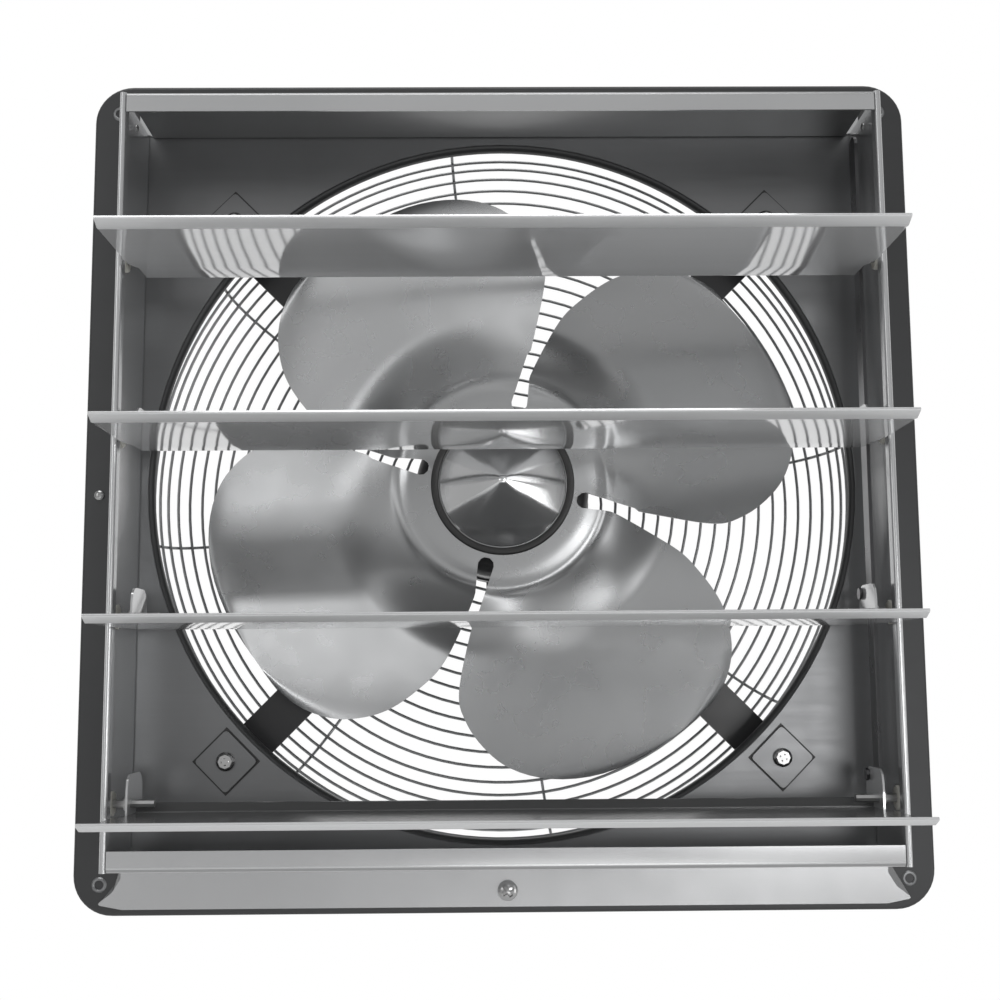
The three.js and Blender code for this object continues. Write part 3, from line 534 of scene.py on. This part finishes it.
def louver_outline():
    """The louver's section (Y, Z) from its front edge to its tail, from the pivot."""
    plate = [(-EAR_FRONT - TAPER * share, PLATE_Z) for share in (1, 0.7, 0.4, 0.15)]
    return folded(
        [
            (-LOUVER_FRONT, PLATE_Z + LIP_RISE),
            (-LOUVER_FRONT + LIP_RUN, PLATE_Z),
            *plate,
            (-EAR_FRONT, PLATE_Z),
            (LOUVER_TAIL, PLATE_Z),
            (LOUVER_TAIL - TAIL_LEAN, PLATE_Z + TAIL_RISE),
        ],
        LOUVER_SHEET,
        LOUVER_BEND,
    )


def hem_outline():
    """The section of the hem: a round nose over the front edge, and a flat under the plate."""
    nose_back, nose_up, nose_start, steps = 0.9, 3.0, 63, 9
    fold, flat_end, flat_half = 6.8, 9.5, 0.62
    turns = [math.radians(nose_start + 180 * i / steps) for i in range(steps + 1)]
    nose = [(math.cos(t), math.sin(t)) for t in turns]
    return [
        *((-LOUVER_FRONT + nose_back + a, PLATE_Z + nose_up + b) for a, b in nose),
        (-LOUVER_FRONT + fold, PLATE_Z - 0.75),
        (-LOUVER_FRONT + flat_end, PLATE_Z - flat_half),
        (-LOUVER_FRONT + flat_end, PLATE_Z + flat_half),
    ]


def ear_outline():
    """The ear's outline (Y, Z) from the pivot: upright in front, with a round arm behind."""
    top = PLATE_Z + EAR_TOP
    arm, arm_round = 17, 9
    return [
        (-EAR_FRONT, PLATE_Z),
        (LOUVER_TAIL, PLATE_Z),
        (arm + arm_round, 0),
        (arm + arm_round, top - arm_round),
        *(
            (arm + arm_round * math.cos(t), top - arm_round + arm_round * math.sin(t))
            for t in (0.4, 0.8, 1.2, 1.5)
        ),
        (0, top),
        (-4, top - 0.6),
        (-7.5, top - 3.5),
        (-EAR_FRONT, top - 9),
    ]


def louver(number):
    pivot_z = TOP_PIVOT_Z - (number - 1) * LOUVER_PITCH

    def reach(y):
        t = min(max((y + EAR_FRONT + TAPER) / TAPER, 0), 1)
        return EAR_HALF + (LOUVER_HALF - EAR_HALF) * (1 - t ** 2)

    def louver_spot(a, b, s):
        return (s * reach(a), PIVOT_Y + a, pivot_z + b)

    def ear_spot(a, b, s):
        return (s, PIVOT_Y + a, pivot_z + b)

    # The tops and the tail flange are darkened: painted shade for the dark box that they reflect.
    def shaded_top(x, y, z):
        a, b = y - PIVOT_Y, z - pivot_z - PLATE_Z
        lip = max(0, (LIP_RUN - LOUVER_FRONT - a) * LIP_SLOPE)
        return abs(x) < EAR_HALF - 0.6 and lip + 0.1 < b < TAIL_RISE + 1

    ears = []
    for side in (-1, 1):
        stations = sorted((side * (EAR_HALF - EAR_SHEET), side * EAR_HALF))
        ears.append(run(ear_outline(), stations, ear_spot))
    name = f"louver_{number}"
    skin = join(run(louver_outline(), ACROSS_LOUVER, louver_spot), *ears)
    hem = run(hem_outline(), ACROSS_LOUVER, louver_spot)
    put(f"{name}_skin", skin, bright_sheet, name, "bright_sheet", name, crease=50, painted=shaded_top)
    put(f"{name}_hem", hem, brushed_hem, name, "bright_sheet", crease=50)


for number in range(1, 5):
    louver(number)


# ---------------------------------------------------------------- pivots and tie bar
# Each louver swings on two short plated pins in natural nylon bushes pressed into the walls. A
# strip of grey steel with four studs links the ears at the right. All keep their built shapes.
def dress(material, *names):
    """Give pieces that keep the shapes they are built with a better material."""
    for name in names:
        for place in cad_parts[name].material_slots:
            place.material = material


plated = sheet_metal("zinc plated steel", (0.50, 0.50, 0.50), 0.32, (150, 150, 150), mottle=0.15)
grey_steel = sheet_metal("grey steel strip", (0.16, 0.16, 0.165), 0.3, (90, 90, 12), mottle=0.15)
nylon = sheet_metal(
    "natural nylon", (0.62, 0.61, 0.56), 0.5, (90, 90, 90), metallic=0.0, mottle=0.08
)
for number in range(1, 5):
    for word in ("left", "right"):
        dress(nylon, f"pivot_bush_{word}_{number}")
        dress(plated, f"pivot_pin_{word}_{number}")
dress(grey_steel, "tie_bar")


# ---------------------------------------------------------------- blade wheel
# One pressing of satin aluminium: a flat hub with a rolled ring round it and four broad blades,
# pitched and dished, with round-ended slots between their roots. A nut on the motor's shaft
# clamps it to a plated boss.
HUB_FRONT = -4
HUB_RADIUS = 38  # where the blades grow out of the hub
BLADE_LENGTH = 150.6
BLADE_SHEET = 1.6
BLADE_TURN = math.radians(32)
ACROSS_STEPS, OUT_STEPS = 36, 60
SLOT_RADIUS, SLOT_HALF = 52, 5  # the slot's round end
SLOT_TIP, SLOT_TIP_HALF = 84, 1.25
SLOT_TURN = 46
# The blade's edges: the share of its length from the hub, and the angle in degrees.
TRAILING = ((0, -43), (0.38, -44.4), (0.62, -44), (0.73, -41), (0.83, -36), (0.9, -31),
            (0.955, -24), (0.99, -15), (1, -5))
LEADING = ((0, 47), (0.285, 42.6), (0.525, 39), (0.66, 35), (0.8, 30), (0.9, 24.5),
           (0.955, 20), (0.99, 15), (1, 11))
satin = sheet_metal(
    "satin aluminium", (0.41, 0.415, 0.42), 0.28, (40, 40, 40),
    metallic=0.82, mottle=0.05, relief=0.012,
)


def spline(points, count):
    """Points at even steps along a curve through the given ones."""
    fine_steps = 24
    fine = []
    for i in range(len(points) - 1):
        p = [Vector(points[max(min(j, len(points) - 1), 0)]) for j in range(i - 1, i + 3)]
        for step in range(fine_steps):
            t = step / fine_steps
            a = (p[2] - p[0]) * 0.5
            b = (p[3] - p[1]) * 0.5
            fine.append(
                p[1] + a * t + (3 * (p[2] - p[1]) - 2 * a - b) * t ** 2
                + (2 * (p[1] - p[2]) + a + b) * t ** 3
            )
    fine.append(Vector(points[-1]))
    lengths = [0]
    for one, other in zip(fine, fine[1:]):
        lengths.append(lengths[-1] + (other - one).length)
    even = []
    place = 0
    for i in range(count + 1):
        want = lengths[-1] * i / count
        while place < len(fine) - 2 and lengths[place + 1] < want:
            place += 1
        gap = max(lengths[place + 1] - lengths[place], 1e-9)
        even.append(fine[place].lerp(fine[place + 1], (want - lengths[place]) / gap))
    return even


def blade_depth(radius, angle, across):
    """How far behind the hub the sheet lies: pitched, set back and dished, with a rolled ring."""
    twist_start, twist_length = 52, 60
    pitch, set_back, dish = 0.25, 11, 5
    ridge, ridge_radius, ridge_width = 1.5, 65, 2.6
    t = min(max((radius - twist_start) / twist_length, 0), 1)
    twist = t * t * (3 - 2 * t)
    hollow = dish * (1 - (2 * across - 1) ** 2)
    rolled = ridge * math.exp(-((radius - ridge_radius) / ridge_width) ** 2)
    return twist * (pitch * radius * angle + set_back + hollow) - rolled


def slot_half_angle(radius):
    """Half the angle that the root slot takes at a radius."""
    if radius < SLOT_RADIUS - SLOT_HALF or radius > SLOT_TIP:
        return 0
    if radius < SLOT_RADIUS:
        wide = math.sqrt(SLOT_HALF ** 2 - (SLOT_RADIUS - radius) ** 2)
    else:
        share = (radius - SLOT_RADIUS) / (SLOT_TIP - SLOT_RADIUS)
        wide = SLOT_HALF + (SLOT_TIP_HALF - SLOT_HALF) * share
    return math.degrees(wide / radius)


def blade(turn, trailing, leading):
    """One blade out from the hub: a front and a rear layer, joined along its border."""
    vertices, faces = [], []
    for face_y in (0, BLADE_SHEET):
        for low, high in zip(trailing, leading):
            start, end = low[1], high[1]
            if slot_half_angle(low[0]):
                start = max(start, SLOT_TURN - 90 + slot_half_angle(low[0]))
            if slot_half_angle(high[0]):
                end = min(end, SLOT_TURN - slot_half_angle(high[0]))
            for j in range(ACROSS_STEPS + 1):
                across = j / ACROSS_STEPS
                radius = low[0] + (high[0] - low[0]) * across
                angle = math.radians(start + (end - start) * across)
                y = HUB_FRONT + face_y + blade_depth(radius, angle, across)
                spin = angle + turn
                vertices.append((radius * math.cos(spin), y, radius * math.sin(spin)))
    width = ACROSS_STEPS + 1
    layer = width * (OUT_STEPS + 1)
    for i in range(OUT_STEPS):
        for j in range(ACROSS_STEPS):
            a = i * width + j
            faces.append((a, a + 1, a + 1 + width, a + width))
            b = a + layer
            faces.append((b, b + width, b + 1 + width, b + 1))
    border = [i * width for i in range(OUT_STEPS + 1)]
    border += [OUT_STEPS * width + j for j in range(1, width)]
    border += [i * width + ACROSS_STEPS for i in range(OUT_STEPS - 1, -1, -1)]
    border += range(ACROSS_STEPS - 1, 0, -1)
    for a, b in zip(border, border[1:] + border[:1]):
        faces.append((a, b, b + layer, a + layer))
    return vertices, faces


def hub_disc():
    """The flat hub inside the blades' roots, a hair proud of them, with its rolled ring."""
    bore, rim, proud = 6.3, 47.2, 0.01
    bead_radius, bead, bead_sunk = 43, 1.2, 0.6
    front, back = HUB_FRONT - proud, HUB_FRONT + BLADE_SHEET + proud
    profile = [(bore, front), (HUB_RADIUS, front)]
    profile += arc(bead_radius, HUB_FRONT + bead_sunk, bead, 200, 340)
    profile += [(rim, front), (rim, back), (bore, back)]
    return turned(profile, 96)


def blade_edge(places):
    points = [(HUB_RADIUS + BLADE_LENGTH * share, angle) for share, angle in places]
    return spline(points, OUT_STEPS)


edges = (blade_edge(TRAILING), blade_edge(LEADING))
blades = [blade(BLADE_TURN + number * math.pi / 2, *edges) for number in range(4)]
put(
    "blade_wheel_skin", join(*blades, hub_disc()), satin, "impeller", "bright_sheet", "blade_wheel",
    crease=40,
)
dress(plated, "hub_boss", "motor_shaft", "shaft_nut")


# ---------------------------------------------------------------- spinner cone
# A spun and polished aluminium cone with fine turning lines, pressed over the shaft nut. A black
# ring round its edge is painted shade for the gap between the cone and the hub.
CONE_RADIUS, CONE_HEIGHT, CONE_SHEET, CONE_TIP = 39.5, 22, 1.2, 6
NEAR_AXIS = 0.05


def turned_metal(name, colour, roughness):
    """Metal with fine rings about the fan's axis and some wear in its gloss."""
    rings_per_metre, wear_per_metre = 2600, 60.0
    material = bpy.data.materials.new(name)
    material.use_nodes = True
    tree = material.node_tree
    shader = tree.nodes["Principled BSDF"]
    place = Field(tree).node("ShaderNodeTexCoord", output="Object")
    x = place.node("ShaderNodeSeparateXYZ", {}, {0: place}, "X")
    z = place.node("ShaderNodeSeparateXYZ", {}, {0: place}, "Z")
    radius = place.node("ShaderNodeMath", {"operation": "SQRT"}, {0: x * x + z * z})
    rings = place.node(
        "ShaderNodeTexNoise", {"noise_dimensions": "1D"},
        {"W": radius * rings_per_metre, "Detail": 2.0},
    )
    wear = place.node(
        "ShaderNodeTexNoise", {}, {"Vector": place, "Scale": wear_per_metre, "Detail": 3.0}
    )
    shade = (rings - 0.5) * 0.07 + (wear - 0.5) * 0.05 + 1.0
    gloss = (wear - 0.5) * 0.08 + (rings - 0.5) * 0.06 + roughness
    tint = place.node("ShaderNodeVectorMath", {"operation": "SCALE"}, {0: colour, "Scale": shade})
    relief = place.node(
        "ShaderNodeBump", {}, {"Strength": 0.04, "Distance": 0.2 * MM, "Height": rings}
    )
    tree.links.new(tint.socket, shader.inputs["Base Color"])
    tree.links.new(gloss.socket, shader.inputs["Roughness"])
    tree.links.new(relief.socket, shader.inputs["Normal"])
    shader.inputs["Metallic"].default_value = 1.0
    return material


polished = turned_metal("polished spun aluminium", (0.72, 0.725, 0.73), 0.10)
shade_black = sheet_metal(
    "black for painted shade", (0.03, 0.03, 0.03), 0.45, (90, 90, 90), metallic=0.0, mottle=0.2
)


def cone_profile():
    """The cone's section: outside from tip to edge, then back inside."""
    slope = math.degrees(math.atan2(CONE_HEIGHT, CONE_RADIUS))
    tip_y = HUB_FRONT - CONE_HEIGHT + CONE_TIP
    foot = HUB_FRONT - 0.05
    outside = arc(0, tip_y, CONE_TIP, -90, -90 + slope)
    outside[0] = (NEAR_AXIS, outside[0][1])
    edge = [(CONE_RADIUS - 0.8, HUB_FRONT - 1.6), (CONE_RADIUS, HUB_FRONT - 0.9)]
    edge += [(CONE_RADIUS, foot), (CONE_RADIUS - 3.3, foot)]
    inside = arc(0, tip_y, CONE_TIP - CONE_SHEET, -90 + slope, -90, 4)
    inside[-1] = (NEAR_AXIS, inside[-1][1])
    return outside + edge + inside


put(
    "spinner_cone_skin", turned(cone_profile(), 128), polished, "impeller", "polished_sheet",
    "spinner_cone",
)
# The black ring is painted shade in the gap round the cone's edge.
SHADE_RING_PROFILE = ((39.9, 0.05), (40.4, 1.3), (42, 1.8), (43.8, 1.4), (44.6, 0.05))  # radius, height
shade_ring = turned([(radius, HUB_FRONT - height) for radius, height in SHADE_RING_PROFILE], 96)
put("cone_shade_ring", shade_ring, shade_black, "impeller", "bright_sheet")


# ---------------------------------------------------------------- motor
# A closed two-cover motor in black paint, held by its front cover. The stack, windings, rotor
# and bearings are sealed inside, and the lead's gland stands under the rear cover.
MOTOR_RADIUS = 56
MOTOR_FRONT, MOTOR_JOINT, MOTOR_BACK = 25, 61, 98
COVER_SHEET = 2.5
COVER_CORNER = 8
COVER_BAND, BAND_RISE = 6, 1.2
# Radius and depth: the outer face's boss and groove, and the bearing's seat inside.
COVER_FACE = ((7, 0), (17, 0), (18.5, 1.2), (26, 1.2), (27.5, 0), (34, 0))
BEARING_SEAT = ((16, 3.7), (16, 11), (13.3, 11), (13.3, 3), (7, 3))
black_paint = sheet_metal(
    "black paint", (0.018, 0.018, 0.02), 0.38, (80, 80, 80), metallic=0.0, mottle=0.2, coat=0.2
)
copper = sheet_metal("varnished copper", (0.45, 0.17, 0.07), 0.35, (300, 40, 300), mottle=0.3)
black_plastic = sheet_metal(
    "black plastic", (0.02, 0.02, 0.02), 0.5, (60, 60, 60), metallic=0.0, mottle=0.2
)


def motor_cover(node, face_y, joint_y):
    """One cover, from its outer face to the joint at the motor's middle."""
    inward = 1 if joint_y > face_y else -1
    length = abs(joint_y - face_y)
    corner = MOTOR_RADIUS - COVER_CORNER
    profile = [
        *COVER_FACE,
        *arc(corner, COVER_CORNER, COVER_CORNER, -90, 0, 8),
        (MOTOR_RADIUS, length - COVER_BAND),
        (MOTOR_RADIUS + BAND_RISE, length - COVER_BAND + 0.6),
        (MOTOR_RADIUS + BAND_RISE, length),
        (MOTOR_RADIUS - COVER_SHEET, length),
        (MOTOR_RADIUS - COVER_SHEET, COVER_CORNER),
        (corner, COVER_SHEET + 1.2),
        *BEARING_SEAT,
    ]
    skin = turned([(radius, face_y + inward * depth) for radius, depth in profile], 96)
    put(f"{node}_skin", skin, black_paint, "fan_frame", "black_paint", node, crease=40)


motor_cover("motor_front_cover", MOTOR_FRONT, MOTOR_JOINT)
motor_cover("motor_rear_cover", MOTOR_BACK, MOTOR_JOINT)
dress(plated, "rotor", "stator", "front_bearing", "rear_bearing")
dress(copper, "front_winding", "rear_winding")
dress(black_plastic, "cable_gland")


# ---------------------------------------------------------------- arms
# Four black straps that carry the motor: each is folded to a tab on the motor and a foot bolted
# through the panel, on a square washer plate with a thin black sheet under it, a little larger,
# that is painted shade round the plate's edges.
ARM_SHEET, ARM_BEND, ARM_WIDTH, ARM_EDGE = 3, 3, 26, 0.4
ARM_TAB, ARM_RISER, ARM_END = 56.3, 226.5, 252.5  # radii of the tab, the riser and the foot's end
ARM_BACK, TAB_LENGTH = 42, 17
BOLT_CIRCLE = 239
PAD_DIAGONAL, PAD_SHADE_THICKNESS, PAD_SUNK = 20.6, 0.35, 0.05  # half the diagonal; thickness; overlap
SCREW_RADIUS, SCREW_HEIGHT, SCREW_SEAT, SCREW_RECESS = 5.7, 3.8, -3.2, 1.6
CORNERS = ("upper_right", "upper_left", "lower_left", "lower_right")
bright_plate = sheet_metal(
    "bright plated screws", (0.34, 0.34, 0.34), 0.2, (200, 200, 200), mottle=0.12
)


def strap(name, angle):
    half = ARM_SHEET / 2
    tab, riser, back = ARM_TAB + half, ARM_RISER + half, ARM_BACK + half
    outline = folded(
        [(tab, back - TAB_LENGTH), (tab, back), (riser, back), (riser, half), (ARM_END, half)],
        ARM_SHEET,
        ARM_BEND,
    )
    edge = ARM_WIDTH / 2
    stations = (-edge, -edge + ARM_EDGE, edge - ARM_EDGE, edge)

    def spot(a, b, s):
        x = a * math.cos(angle) - s * math.sin(angle)
        z = a * math.sin(angle) + s * math.cos(angle)
        return (x, b, z)

    skin = run(outline, stations, spot)
    put(f"{name}_skin", skin, black_paint, "fan_frame", "black_paint", name, crease=50)


def head(name, centre, facing, radius, height, material, recess=0.0, turn=0.0):
    """A domed head on a surface, with a cross recess where recess is its depth."""
    rings, sides = 16, 72
    dome, skirt = 0.85, 0.38
    cross_width, cross_reach = 0.17, 0.62
    out = Vector(facing)
    across = out.cross(Vector((0, 0, 1))).normalized()
    along = out.cross(across)
    rows = []
    for i in range(rings):
        reach = radius * max(i / (rings - 1), 0.01)
        row = []
        for j in range(sides):
            angle = 2 * math.pi * j / sides
            a, b = reach * math.cos(angle), reach * math.sin(angle)
            u = abs(a * math.cos(turn) + b * math.sin(turn))
            v = abs(b * math.cos(turn) - a * math.sin(turn))
            rise = height * math.sqrt(1 - dome * (reach / radius) ** 2)
            if min(u, v) < cross_width * radius and max(u, v) < cross_reach * radius:
                rise -= recess
            row.append(tuple(Vector(centre) + across * a + along * b + out * rise))
        rows.append(row)
    rows.append([tuple(Vector(point) - out * height * skirt) for point in rows[-1]])
    vertices, faces = loops(rows, closed=False)
    faces.append(tuple(reversed(range(sides))))
    faces.append(tuple(range(rings * sides, (rings + 1) * sides)))
    put(name, (vertices, faces), material, "fan_frame", "zinc_steel", crease=35)


for i, corner in enumerate(CORNERS):
    angle = math.radians(45 + 90 * i)
    strap(f"{corner}_arm", angle)
    bolt_x, bolt_z = BOLT_CIRCLE * math.cos(angle), BOLT_CIRCLE * math.sin(angle)
    square = [
        (PAD_DIAGONAL * math.cos(t), PAD_DIAGONAL * math.sin(t))
        for t in (math.pi / 2 * k for k in range(4))
    ]
    # A thin black square under each plate, a little larger, is painted shade round its edges.
    layers = (-SHEET - PAD_SHADE_THICKNESS, -SHEET + PAD_SUNK)
    pad_shade_shape = run(square, layers, lambda a, b, s: (a + bolt_x, s, b + bolt_z))
    put(f"{corner}_pad_shade_sheet", pad_shade_shape, shade_black, "fan_frame", "black_plastic")
    head(
        f"{corner}_screw_head", (bolt_x, SCREW_SEAT, bolt_z), (0, -1, 0), SCREW_RADIUS,
        SCREW_HEIGHT, bright_plate, recess=SCREW_RECESS, turn=0.5 + i,
    )
    dress(dark_sheet, f"{corner}_arm_pad")
    dress(plated, f"{corner}_arm_bolt", f"{corner}_motor_bolt")


# ---------------------------------------------------------------- wire guard
# Plated wire rings welded to eight spokes: a flat face behind the motor, a rounded shoulder, and
# a skirt down to a foot ring with four eyes that sit under the arm bolts' nuts.
WIRE, WIRE_SIDES = 1.0, 8
SPOKE_GAP = 2 * WIRE - 0.6  # from a ring's middle to a spoke's, pressed together by the weld
GUARD_FACE, HUB_RING, FIRST_RING, RING_STEP = 105, 20, 50, 10
SHOULDER, SIDE_RADIUS, SIDE_Y = 190, 228, 50
SHOULDER_RINGS, SPOKE_BENDS = 7, 12
FOOT_RING = (245, 4.1)
SPOKES, SPOKE_TURN = 8, 8
EYE = ((3.4, 3.05), (7.4, 3.05), (7.7, 3.4), (7.7, 4.6), (7.4, 4.95), (3.4, 4.95))
wire_metal = sheet_metal("plated wire", (0.30, 0.305, 0.31), 0.34, (200, 200, 200), mottle=0.1)


def tube(points, closed=False):
    """A round wire along points."""
    rows = []
    count = len(points)
    for i, point in enumerate(points):
        before = points[(i - 1) % count] if closed or i else point
        after = points[(i + 1) % count] if closed or i < count - 1 else point
        along = (after - before).normalized()
        side = along.cross(Vector((0, 1, 0)))
        if side.length < 1e-3:
            side = along.cross(Vector((1, 0, 0)))
        side.normalize()
        other = along.cross(side)
        rows.append([
            tuple(point + side * WIRE * math.cos(a) + other * WIRE * math.sin(a))
            for a in (2 * math.pi * k / WIRE_SIDES for k in range(WIRE_SIDES))
        ])
    vertices, faces = loops(rows, closed=closed)
    if not closed:
        last = (count - 1) * WIRE_SIDES
        faces.append(tuple(range(WIRE_SIDES)))
        faces.append(tuple(last + k for k in reversed(range(WIRE_SIDES))))
    return vertices, faces


def shoulder(first, last, steps, out=0):
    """Places (radius, Y) round the guard's shoulder, from its face to its side."""
    places = []
    for i in range(first, last + 1):
        angle = math.pi / 2 * (1 - i / steps)
        places.append((
            SHOULDER + (SIDE_RADIUS - SHOULDER + out) * math.cos(angle),
            SIDE_Y + (GUARD_FACE - SIDE_Y + out) * math.sin(angle),
        ))
    return places


def guard_ring(radius, y):
    steps = max(24, int(radius * 0.6))
    angles = (2 * math.pi * k / steps for k in range(steps))
    return tube([Vector((radius * math.cos(a), y, radius * math.sin(a))) for a in angles], True)


def spoke(angle):
    route = [
        (HUB_RING, GUARD_FACE + SPOKE_GAP),
        (SHOULDER, GUARD_FACE + SPOKE_GAP),
        *shoulder(1, SPOKE_BENDS, SPOKE_BENDS, SPOKE_GAP),
        (SIDE_RADIUS + SPOKE_GAP, 31),
        (SIDE_RADIUS + 2 * SPOKE_GAP, 14),
        (235, 8),
        FOOT_RING,
    ]
    return tube([Vector((r * math.cos(angle), y, r * math.sin(angle))) for r, y in route])


def eye(angle):
    ring, sides = turned(EYE, 24)
    x, z = BOLT_CIRCLE * math.cos(angle), BOLT_CIRCLE * math.sin(angle)
    return [(a + x, b, c + z) for a, b, c in ring], sides


guard_rings = [(HUB_RING, GUARD_FACE)]
guard_rings += [(radius, GUARD_FACE) for radius in range(FIRST_RING, SHOULDER, RING_STEP)]
guard_rings += [*shoulder(0, SHOULDER_RINGS, SHOULDER_RINGS), FOOT_RING]
guard = join(
    *(guard_ring(radius, y) for radius, y in guard_rings),
    *(spoke(math.radians(SPOKE_TURN + 360 / SPOKES * k)) for k in range(SPOKES)),
    *(eye(math.radians(45 + 90 * k)) for k in range(4)),
)
put("wire_guard_skin", guard, wire_metal, "fan_frame", "wire", "wire_guard", crease=60)


# ---------------------------------------------------------------- small screws and rivets
# A bright plated screw through the bottom rail's foot, a button on the panel at the left, and
# zinc plated rivets at both ends of the top rail, two in the walls and two in its web.
SMALL_HEADS = (
    # name, centre, facing, radius, height, material, depth of the cross recess and its turn
    ("bottom_screw_head", (1.3, -2.4, -246.5), (0, -1, 0), 6.0, 3.4, bright_plate, 1.1, 0.6),
    ("left_button", (-250.5, -1.2, -5.6), (0, -1, 0), 3.1, 2.2, bright_plate),
    ("left_top_rivet", (-223.5, -40, 216), (1, 0, 0), 2.4, 1.3, plated),
    ("left_web_rivet", (-217, -13, 224.8), (0, 0, -1), 2.2, 1.2, plated),
    ("right_top_rivet", (223.5, -40, 216), (-1, 0, 0), 2.4, 1.3, plated),
    ("right_web_rivet", (217, -13, 224.8), (0, 0, -1), 2.2, 1.2, plated),
)
for small_head in SMALL_HEADS:
    head(*small_head)


# ---------------------------------------------------------------- corner eyelets
# The holes by which the flange is screwed to the window board, one in each corner: the edge of
# the dark sheet is rolled forward round each, and a black disc over each hole is painted shade.
EYELET_X, EYELET_Z = 244, 241.5
EYELET_EDGE = ((2.7, -1.22), (2.7, -1.7), (3.1, -2.0), (3.9, -1.9), (4.6, -1.22))
EYELET_HOLE_SHADE = ((0.05, -1.3), (2.75, -1.3), (2.75, -1.22), (0.05, -1.22))
for word, x, z in (
    ("upper_left", -EYELET_X, EYELET_Z),
    ("upper_right", EYELET_X, EYELET_Z),
    ("lower_left", -EYELET_X, -EYELET_Z),
    ("lower_right", EYELET_X, -EYELET_Z),
):
    for part, profile, material in (
        ("edge", EYELET_EDGE, dark_sheet),
        # The bore is a flat black disc: painted shade for the hole.
        ("bore", EYELET_HOLE_SHADE, black_paint),
    ):
        ring, faces = turned(profile, 48)
        placed = [(a + x, b, c + z) for a, b, c in ring]
        put(f"{word}_eyelet_{part}", (placed, faces), material, "fan_frame", "dark_sheet")
